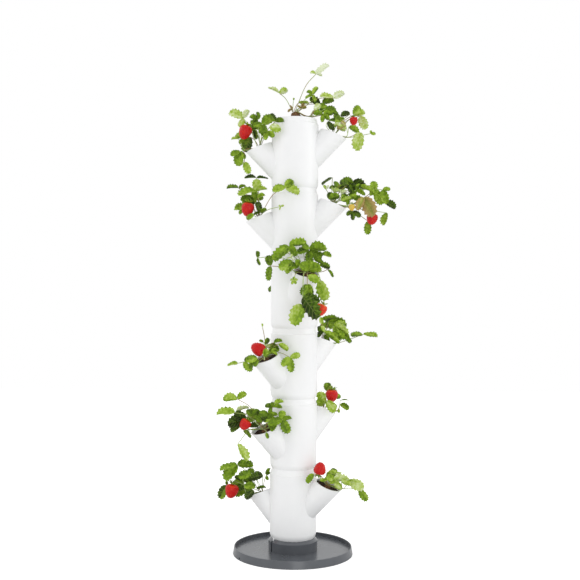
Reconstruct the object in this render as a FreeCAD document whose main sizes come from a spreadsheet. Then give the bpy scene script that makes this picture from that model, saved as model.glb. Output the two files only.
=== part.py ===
import FreeCAD, Part
import math
import os
import Sketcher

Vector = FreeCAD.Vector
Rotation = FreeCAD.Rotation

doc = FreeCAD.newDocument("planter_tower")

# Driving sizes in millimetres and degrees, with what each one is
driving_sizes = [
    ("storey_pitch", 180.5, "height of one storey, seat to seat"),
    ("body_radius", 60.5, "outside of a storey's tube"),
    ("body_wall", 3.0, "wall of the tube"),
    ("foot_inset", 5.0, "how far the rounded foot of a storey draws in"),
    ("foot_height", 14.0, "height of that rounded foot"),
    ("neck_height", 14.5, "height of the shoulder and neck on top"),
    ("neck_inset", 5.0, "how far the neck draws in"),
    ("shoulder_step", 2.0, "step between tube and neck"),
    ("neck_wall", 3.5, "wall of the neck at its top"),
    ("spigot_depth", 14.0, "length of the spigot that drops into the neck below"),
    ("spigot_clearance", 0.4, "radial play of the spigot in the neck"),
    ("pocket_radius", 33.0, "outside of a pocket tube"),
    ("pocket_wall", 3.0, "wall of a pocket tube"),
    ("pocket_lean", 44.0, "lean of a pocket tube away from upright"),
    ("mouth_tilt", 22.0, "outward tilt of a pocket's mouth"),
    ("low_reach", 66.5, "low pocket: lip to the face of the tube"),
    ("low_lip_height", 94.0, "low pocket: lip above the storey's seat"),
    ("high_reach", 72.5, "high pocket: lip to the face of the tube"),
    ("high_lip_height", 130.0, "high pocket: lip above the storey's seat"),
    ("seat_height", 42.0, "seat of the lowest storey above the ground"),
    ("saucer_radius", 155.0, "saucer at the ground"),
    ("saucer_flare", 3.0, "how much narrower the saucer is at its rim"),
    ("saucer_height", 20.0, "rim of the saucer above the ground"),
    ("saucer_floor", 10.0, "floor of the saucer above the ground"),
    ("saucer_wall", 2.5, "thickness of the saucer"),
    ("rib_width", 2.5, "ribs under the saucer floor"),
    ("vent_radius", 2.5, "vent hole in the saucer's skirt"),
    ("vent_height", 4.8, "height of that hole's centre"),
    ("vent_turn", 209.0, "direction of that hole"),
    ("collar_radius", 63.5, "outside of the collar"),
    ("collar_wall", 3.0, "wall of the collar"),
    ("collar_chamfer", 7.0, "bevel round the top of the collar"),
    ("slot_width", 6.0, "slots in the collar"),
    ("slot_turn", 210.0, "direction of the first slot"),
    ("key_clearance", 0.4, "play of a key in its slot"),
    ("key_thickness", 3.0, "radial thickness of a key"),
    ("key_drop", 8.0, "how far a key reaches below the seat"),
    ("grate_thickness", 3.0, "thickness of the drain grate"),
    ("grate_clearance", 0.4, "play of the grate in the collar"),
    ("ledge_width", 3.0, "ledge that carries the grate"),
    ("grate_hole", 3.0, "radius of a drain hole"),
    ("grate_ring", 14.0, "spacing of the rings of drain holes"),
    ("soil_gap", 0.3, "play between soil and shell"),
    ("soil_drop", 8.0, "soil below the rim it fills to"),
    ("crown_radius", 8.0, "foot of a plant's crown"),
    ("crown_height", 9.0, "height of a plant's crown"),
    ("top_crown_radius", 14.0, "foot of the crown in the open top"),
    ("top_crown_height", 30.0, "height of the crown in the open top"),
    ("stalk_radius", 0.8, "leaf and fruit stalks"),
    ("leaf_thickness", 0.9, "leaf blades"),
    ("berry_gap", 0.3, "play between a berry and what is round it"),
]
sheet = doc.addObject("Spreadsheet::Sheet", "Sizes")
for row, (alias, size, note) in enumerate(driving_sizes, start=1):
    sheet.set(f"A{row}", note)
    sheet.set(f"B{row}", str(size))
    sheet.setAlias(f"B{row}", alias)
doc.recompute()

# Direction of each storey's high pocket, lowest storey first
storey_turns = [-26.0, 37.0, 39.0, -73.0, 0.0, 0.0]
storey_count = len(storey_turns)

# Sizes that follow from the driving ones, as expressions of the sheet
spigot_radius = "(Sizes.body_radius - Sizes.neck_inset - Sizes.neck_wall - Sizes.spigot_clearance)"
socket_bore = "(Sizes.body_radius - Sizes.neck_inset - Sizes.neck_wall)"
ledge_bore = f"({socket_bore} - Sizes.ledge_width)"
grate_seat = "(Sizes.seat_height - Sizes.spigot_depth - Sizes.grate_thickness)"
mouth_half = ("(Sizes.pocket_radius * cos(Sizes.mouth_tilt)"
              " / cos(90 - Sizes.pocket_lean - Sizes.mouth_tilt))")


def value(expression):
    return float(sheet.evalExpression(expression))


def new_body(label):
    body = doc.addObject("PartDesign::Body", label)
    body.Label = label
    return body


def origin_part(body, role):
    for feature in body.Origin.OriginFeatures:
        if feature.Role == role:
            return feature


def new_sketch(body, name, plane):
    sketch = body.newObject("Sketcher::SketchObject", name)
    sketch.AttachmentSupport = [(origin_part(body, plane), "")]
    sketch.MapMode = "FlatFace"
    return sketch


def pin(sketch, element, end, x, y):
    """Tie one end of a sketch element to a place given by two expressions."""
    for kind, expression in (("DistanceX", x), ("DistanceY", y)):
        index = sketch.addConstraint(Sketcher.Constraint(kind, -1, 1, element, end, value(expression)))
        sketch.setExpression(f"Constraints[{index}]", expression)


def outline(body, name, corners, plane="XZ_Plane", axis=None):
    """Draw a closed outline. A corner is (x, y), or (x, y, radius) where an arc goes on to the next one.

    A positive radius bulges to the right of the way the outline runs, a negative one to the left.
    """
    sketch = new_sketch(body, name, plane)
    places = [Vector(value(corner[0]), value(corner[1]), 0) for corner in corners]
    for index, corner in enumerate(corners):
        start = places[index]
        finish = places[(index + 1) % len(places)]
        if len(corner) == 3:
            radius = abs(value(corner[2]))
            side = 1 if value(corner[2]) > 0 else -1
            along = (finish - start).normalize()
            right = Vector(along.y, -along.x, 0) * side
            half = (finish - start).Length / 2
            middle = (start + finish) * 0.5 + right * (radius - math.sqrt(max(radius**2 - half**2, 0)))
            element = sketch.addGeometry(Part.Arc(start, middle, finish), False)
            curve = sketch.Geometry[element]
            ends = (1, 2) if curve.StartPoint.isEqual(start, 1e-6) else (2, 1)
            index_radius = sketch.addConstraint(Sketcher.Constraint("Radius", element, radius))
            sketch.setExpression(f"Constraints[{index_radius}]", f"abs({corner[2]})")
            pin(sketch, element, ends[0], corner[0], corner[1])
            following = corners[(index + 1) % len(corners)]
            pin(sketch, element, ends[1], following[0], following[1])
        else:
            element = sketch.addGeometry(Part.LineSegment(start, finish), False)
            pin(sketch, element, 1, corner[0], corner[1])
            following = corners[(index + 1) % len(corners)]
            pin(sketch, element, 2, following[0], following[1])
    if axis:
        ends = [Vector(value(x), value(y), 0) for x, y in axis]
        element = sketch.addGeometry(Part.LineSegment(*ends), True)
        pin(sketch, element, 1, *axis[0])
        pin(sketch, element, 2, *axis[1])
    return sketch


def turn(body, kind, sketch, axis="V_Axis"):
    """Revolve a sketch, as a PartDesign::Revolution that adds or a PartDesign::Groove that cuts."""
    feature = body.newObject(kind, sketch.Name + "_turned")
    feature.Profile = sketch
    feature.ReferenceAxis = (sketch, [axis])
    feature.Angle = 360.0
    doc.recompute()
    return feature


def push(body, kind, sketch, length, symmetric=False, reverse=False):
    """Extrude a sketch, as a PartDesign::Pad that adds or a PartDesign::Pocket that cuts."""
    feature = body.newObject(kind, sketch.Name + "_pushed")
    feature.Profile = sketch
    feature.SideType = "Symmetric" if symmetric else "One side"
    feature.Reversed = reverse
    feature.setExpression("Length", length)
    doc.recompute()
    return feature


def ring_pattern(body, feature, count):
    pattern = body.newObject("PartDesign::PolarPattern", feature.Name + "_ring")
    pattern.Originals = [feature]
    pattern.Axis = (origin_part(body, "Z_Axis"), [""])
    pattern.Angle = 360.0
    pattern.Occurrences = count
    body.Tip = pattern
    doc.recompute()
    return pattern


def circle(sketch, x, y, radius):
    centre = Vector(value(x), value(y), 0)
    element = sketch.addGeometry(Part.Circle(centre, Vector(0, 0, 1), value(radius)), False)
    index = sketch.addConstraint(Sketcher.Constraint("Radius", element, value(radius)))
    sketch.setExpression(f"Constraints[{index}]", radius)
    pin(sketch, element, 3, x, y)


# Saucer: flared skirt with a round rim, floor, ribs below and one vent hole
def make_saucer():
    body = new_body("saucer")
    floor_under = "(Sizes.saucer_floor - Sizes.saucer_wall)"
    lean = "(Sizes.saucer_flare / Sizes.saucer_height)"
    rim_centre = "(Sizes.saucer_height - Sizes.saucer_wall / 2)"
    outer_rim = f"(Sizes.saucer_radius - {lean} * {rim_centre})"
    skirt = outline(body, "saucer_section", [
        ("0", floor_under),
        (f"Sizes.saucer_radius - {lean} * {floor_under} - Sizes.saucer_wall", floor_under),
        ("Sizes.saucer_radius - Sizes.saucer_wall", "0"),
        ("Sizes.saucer_radius", "0"),
        (outer_rim, rim_centre, "Sizes.saucer_wall / 2"),
        (f"{outer_rim} - Sizes.saucer_wall / 2", "Sizes.saucer_height", "Sizes.saucer_wall / 2"),
        (f"{outer_rim} - Sizes.saucer_wall", rim_centre),
        (f"Sizes.saucer_radius - {lean} * Sizes.saucer_floor - Sizes.saucer_wall", "Sizes.saucer_floor"),
        ("0", "Sizes.saucer_floor"),
    ])
    turn(body, "PartDesign::Revolution", skirt)
    rib = outline(body, "saucer_rib", [
        ("0", "-Sizes.rib_width / 2"),
        ("Sizes.saucer_radius - Sizes.saucer_wall - 1", "-Sizes.rib_width / 2"),
        ("Sizes.saucer_radius - Sizes.saucer_wall - 1", "Sizes.rib_width / 2"),
        ("0", "Sizes.rib_width / 2"),
    ], plane="XY_Plane")
    ribs = push(body, "PartDesign::Pad", rib, f"{floor_under} + Sizes.saucer_wall / 2")
    ring_pattern(body, ribs, 8)
    ring = new_sketch(body, "saucer_ring", "XY_Plane")
    circle(ring, "0", "0", "Sizes.collar_radius")
    circle(ring, "0", "0", "Sizes.collar_radius - Sizes.rib_width")
    push(body, "PartDesign::Pad", ring, f"{floor_under} + Sizes.saucer_wall / 2")
    vent = body.newObject("PartDesign::SubtractiveCylinder", "saucer_vent")
    vent.setExpression("Radius", "Sizes.vent_radius")
    vent.setExpression("Height", "Sizes.saucer_radius / 10")
    vent.Placement = FreeCAD.Placement(
        Vector(0, 0, 0), Rotation(Vector(0, 0, 1), value("Sizes.vent_turn")) * Rotation(Vector(0, 1, 0), 90))
    inner = "(Sizes.saucer_radius - Sizes.saucer_radius / 20)"
    vent.setExpression("Placement.Base.x", f"{inner} * cos(Sizes.vent_turn)")
    vent.setExpression("Placement.Base.y", f"{inner} * sin(Sizes.vent_turn)")
    vent.setExpression("Placement.Base.z", "Sizes.vent_height")
    return body


# Collar: outer skirt, bevelled top, inner socket for the spigot, ledge for the grate and two slots
def make_collar():
    body = new_body("base_collar")
    socket_outside = f"({socket_bore} + Sizes.collar_wall)"
    section = outline(body, "collar_section", [
        ("Sizes.collar_radius", "Sizes.saucer_floor"),
        ("Sizes.collar_radius", "Sizes.seat_height - Sizes.collar_chamfer"),
        ("Sizes.collar_radius - Sizes.collar_chamfer", "Sizes.seat_height"),
        (socket_bore, "Sizes.seat_height"),
        (socket_bore, grate_seat),
        (ledge_bore, grate_seat),
        (ledge_bore, f"{grate_seat} - Sizes.collar_wall"),
        (socket_outside, f"{grate_seat} - Sizes.collar_wall"),
        (socket_outside, "Sizes.seat_height - Sizes.collar_wall * 1.2"),
        ("Sizes.collar_radius - Sizes.collar_wall",
         "Sizes.seat_height - Sizes.collar_chamfer - Sizes.collar_wall * 0.4"),
        ("Sizes.collar_radius - Sizes.collar_wall", "Sizes.saucer_floor"),
    ])
    turn(body, "PartDesign::Revolution", section)
    slot = outline(body, "collar_slot", [
        (socket_outside, "-Sizes.slot_width / 2"),
        ("Sizes.collar_radius + 5", "-Sizes.slot_width / 2"),
        ("Sizes.collar_radius + 5", "Sizes.slot_width / 2"),
        (socket_outside, "Sizes.slot_width / 2"),
    ], plane="XY_Plane")
    cut = push(body, "PartDesign::Pocket", slot, "Sizes.seat_height + 1", reverse=True)
    ring_pattern(body, cut, 2)
    body.setExpression("Placement.Rotation.Angle", "Sizes.slot_turn")
    return body


# Drain grate: a disc with three rings of holes
def make_grate():
    body = new_body("drain_grate")
    disc = new_sketch(body, "grate_disc", "XY_Plane")
    circle(disc, "0", "0", f"{socket_bore} - Sizes.grate_clearance")
    push(body, "PartDesign::Pad", disc, "Sizes.grate_thickness")
    middle = new_sketch(body, "grate_middle", "XY_Plane")
    circle(middle, "0", "0", "Sizes.grate_hole")
    push(body, "PartDesign::Pocket", middle, "Sizes.grate_thickness", reverse=True)
    for ring in (1, 2, 3):
        hole = new_sketch(body, f"grate_hole_{ring}", "XY_Plane")
        circle(hole, f"Sizes.grate_ring * {ring}", "0", "Sizes.grate_hole")
        cut = push(body, "PartDesign::Pocket", hole, "Sizes.grate_thickness", reverse=True)
        ring_pattern(body, cut, 6 * ring)
    body.setExpression("Placement.Base.z", grate_seat)
    return body


# A pocket is described by its side (1 or -1 along X), its reach and the height of its lip
pockets = {
    "high": (1, "Sizes.high_reach", "Sizes.high_lip_height"),
    "low": (-1, "Sizes.low_reach", "Sizes.low_lip_height"),
}


def mouth_centre(which):
    """Distance from the axis and height of the middle of a pocket's mouth, as expressions."""
    side, reach, lip = pockets[which]
    return (f"(Sizes.body_radius + {reach} - {mouth_half})",
            f"({lip} + {mouth_half} * tan(Sizes.mouth_tilt))")


def add_pocket(body, which, radius, kind, below_mouth=None):
    """Turn a cylinder about a pocket's axis. With below_mouth it is cut off that far under the mouth."""
    side = pockets[which][0]
    centre_x, centre_z = mouth_centre(which)
    start = (f"((Sizes.body_radius - Sizes.body_wall"
             f" - (Sizes.pocket_radius - Sizes.pocket_wall) * cos(Sizes.pocket_lean)) - 2)")
    drop = f"(({centre_x} - {start}) / tan(Sizes.pocket_lean))"
    start_z = f"({centre_z} - {drop})"
    far = "(Sizes.pocket_radius * 1.5)"
    end_x = f"({centre_x} + {far} * sin(Sizes.pocket_lean))"
    end_z = f"({centre_z} + {far} * cos(Sizes.pocket_lean))"
    across_x = f"({radius} * cos(Sizes.pocket_lean))"
    across_z = f"({radius} * sin(Sizes.pocket_lean))"
    name = f"{which}_{kind.split('::')[1].lower()}"
    sketch = outline(body, name, [
        (f"{side} * {start}", start_z),
        (f"{side} * ({start} + {across_x})", f"{start_z} - {across_z}"),
        (f"{side} * ({end_x} + {across_x})", f"{end_z} - {across_z}"),
        (f"{side} * {end_x}", end_z),
    ], axis=[(f"{side} * {start}", start_z), (f"{side} * {end_x}", end_z)])
    turn(body, kind, sketch, axis="Axis0")
    if below_mouth is not None:
        cut_z = f"({centre_z} - ({below_mouth}) / cos(Sizes.mouth_tilt))"
        wide = "(Sizes.pocket_radius * 4)"
        trim = outline(body, name + "_trim", [
            (f"{side} * ({centre_x} + {wide})", f"{cut_z} - {wide} * tan(Sizes.mouth_tilt)"),
            (f"{side} * ({centre_x} + {wide})", f"{cut_z} + {wide}"),
            ("0", f"{cut_z} + {wide}"),
            ("0", f"{cut_z} + {centre_x} * tan(Sizes.mouth_tilt)"),
        ])
        push(body, "PartDesign::Pocket", trim, wide, symmetric=True)


# Storey shell: two trimmed pocket tubes, the turned tube, then the hollows
def make_storey(number):
    body = new_body(f"storey_{number}")
    for which in pockets:
        add_pocket(body, which, "Sizes.pocket_radius", "PartDesign::Revolution", below_mouth="0")
    foot_arc = ("((Sizes.foot_inset ^ 2 + Sizes.foot_height ^ 2) / (2 * Sizes.foot_inset))")
    tube = outline(body, "tube_outside", [
        ("0", "-Sizes.spigot_depth"),
        (spigot_radius, "-Sizes.spigot_depth"),
        (spigot_radius, "0"),
        ("Sizes.body_radius - Sizes.foot_inset", "0", foot_arc),
        ("Sizes.body_radius", "Sizes.foot_height"),
        ("Sizes.body_radius", "Sizes.storey_pitch - Sizes.neck_height"),
        ("Sizes.body_radius - Sizes.shoulder_step",
         "Sizes.storey_pitch - Sizes.neck_height + Sizes.shoulder_step"),
        ("Sizes.body_radius - Sizes.neck_inset", "Sizes.storey_pitch"),
        ("0", "Sizes.storey_pitch"),
    ])
    turn(body, "PartDesign::Revolution", tube)
    if number == 1:
        add_keys(body)
    inside = "(Sizes.body_radius - Sizes.body_wall)"
    hollow = outline(body, "tube_inside", [
        ("0", "-Sizes.spigot_depth"),
        (f"{spigot_radius} - Sizes.body_wall", "-Sizes.spigot_depth"),
        (f"{spigot_radius} - Sizes.body_wall", "Sizes.body_wall"),
        (f"{inside} - Sizes.foot_inset", "Sizes.body_wall"),
        (inside, "Sizes.body_wall + Sizes.foot_inset"),
        (inside, f"Sizes.storey_pitch - Sizes.neck_height - ({inside} - {socket_bore}) + 2"),
        (socket_bore, "Sizes.storey_pitch - Sizes.neck_height + 2"),
        (socket_bore, "Sizes.storey_pitch"),
        ("0", "Sizes.storey_pitch"),
    ])
    turn(body, "PartDesign::Groove", hollow)
    for which in pockets:
        add_pocket(body, which, "(Sizes.pocket_radius - Sizes.pocket_wall)", "PartDesign::Groove")
    place_storey_piece(body, number)
    return body


def add_keys(body):
    """Two keys under the foot of the lowest storey, in line with the collar's slots."""
    inner = f"({socket_bore} + Sizes.collar_wall + Sizes.key_clearance)"
    key_half = "(Sizes.slot_width / 2 - Sizes.key_clearance)"
    key = outline(body, "key_section", [
        (inner, f"-{key_half}"),
        (f"{inner} + Sizes.key_thickness", f"-{key_half}"),
        (f"{inner} + Sizes.key_thickness", key_half),
        (inner, key_half),
    ], plane="XY_Plane")
    key.AttachmentOffset = FreeCAD.Placement(
        Vector(0, 0, 0), Rotation(Vector(0, 0, 1), value("Sizes.slot_turn") - storey_turns[0]))
    key.setExpression("AttachmentOffset.Base.z", "-Sizes.key_drop")
    key.setExpression("AttachmentOffset.Rotation.Angle", f"Sizes.slot_turn - ({storey_turns[0]})")
    keys = push(body, "PartDesign::Pad", key, "Sizes.key_drop + Sizes.foot_height / 2")
    ring_pattern(body, keys, 2)


def place_storey_piece(body, number):
    body.Placement = FreeCAD.Placement(Vector(0, 0, 0), Rotation(Vector(0, 0, 1), storey_turns[number - 1]))
    body.setExpression("Placement.Base.z", f"Sizes.seat_height + {number - 1} * Sizes.storey_pitch")


# Soil: what fills the tube and both pockets of a storey, with a little play to the shell
def make_soil(number):
    body = new_body(f"soil_{number}")
    for which in pockets:
        add_pocket(body, which, "(Sizes.pocket_radius - Sizes.pocket_wall - Sizes.soil_gap)",
                   "PartDesign::Revolution", below_mouth="Sizes.soil_drop")
    inside = "(Sizes.body_radius - Sizes.body_wall - Sizes.soil_gap)"
    neck = f"({socket_bore} - Sizes.soil_gap)"
    corner = "(Sizes.body_wall + Sizes.soil_gap * 1.5)"
    under_neck = f"(Sizes.storey_pitch - Sizes.neck_height - ({inside} - {neck}) + 2 - Sizes.soil_gap)"
    if number < storey_count:
        top = "(Sizes.storey_pitch - Sizes.spigot_depth - Sizes.soil_gap)"
        shoulder = [(f"{inside} - ({top} - {under_neck})", top)]
    else:
        top = "(Sizes.storey_pitch - Sizes.soil_drop)"
        shoulder = [(neck, f"{under_neck} + {inside} - {neck}"), (neck, top)]
    column = outline(body, "soil_column", [
        ("0", "-Sizes.spigot_depth"),
        (f"{spigot_radius} - Sizes.body_wall - Sizes.soil_gap", "-Sizes.spigot_depth"),
        (f"{spigot_radius} - Sizes.body_wall - Sizes.soil_gap", corner),
        (f"{inside} - Sizes.foot_inset", corner),
        (inside, f"{corner} + Sizes.foot_inset"),
        (inside, under_neck),
    ] + shoulder + [("0", top)])
    turn(body, "PartDesign::Revolution", column)
    place_storey_piece(body, number)
    return body


# Plants. Places are as they look from the front: millimetres right of, behind and above the middle of the
# mouth, seen from an eye at eye_height, eye_distance in front of the tower's axis.
eye_distance = 2500.0
eye_height = 682.5

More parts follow.
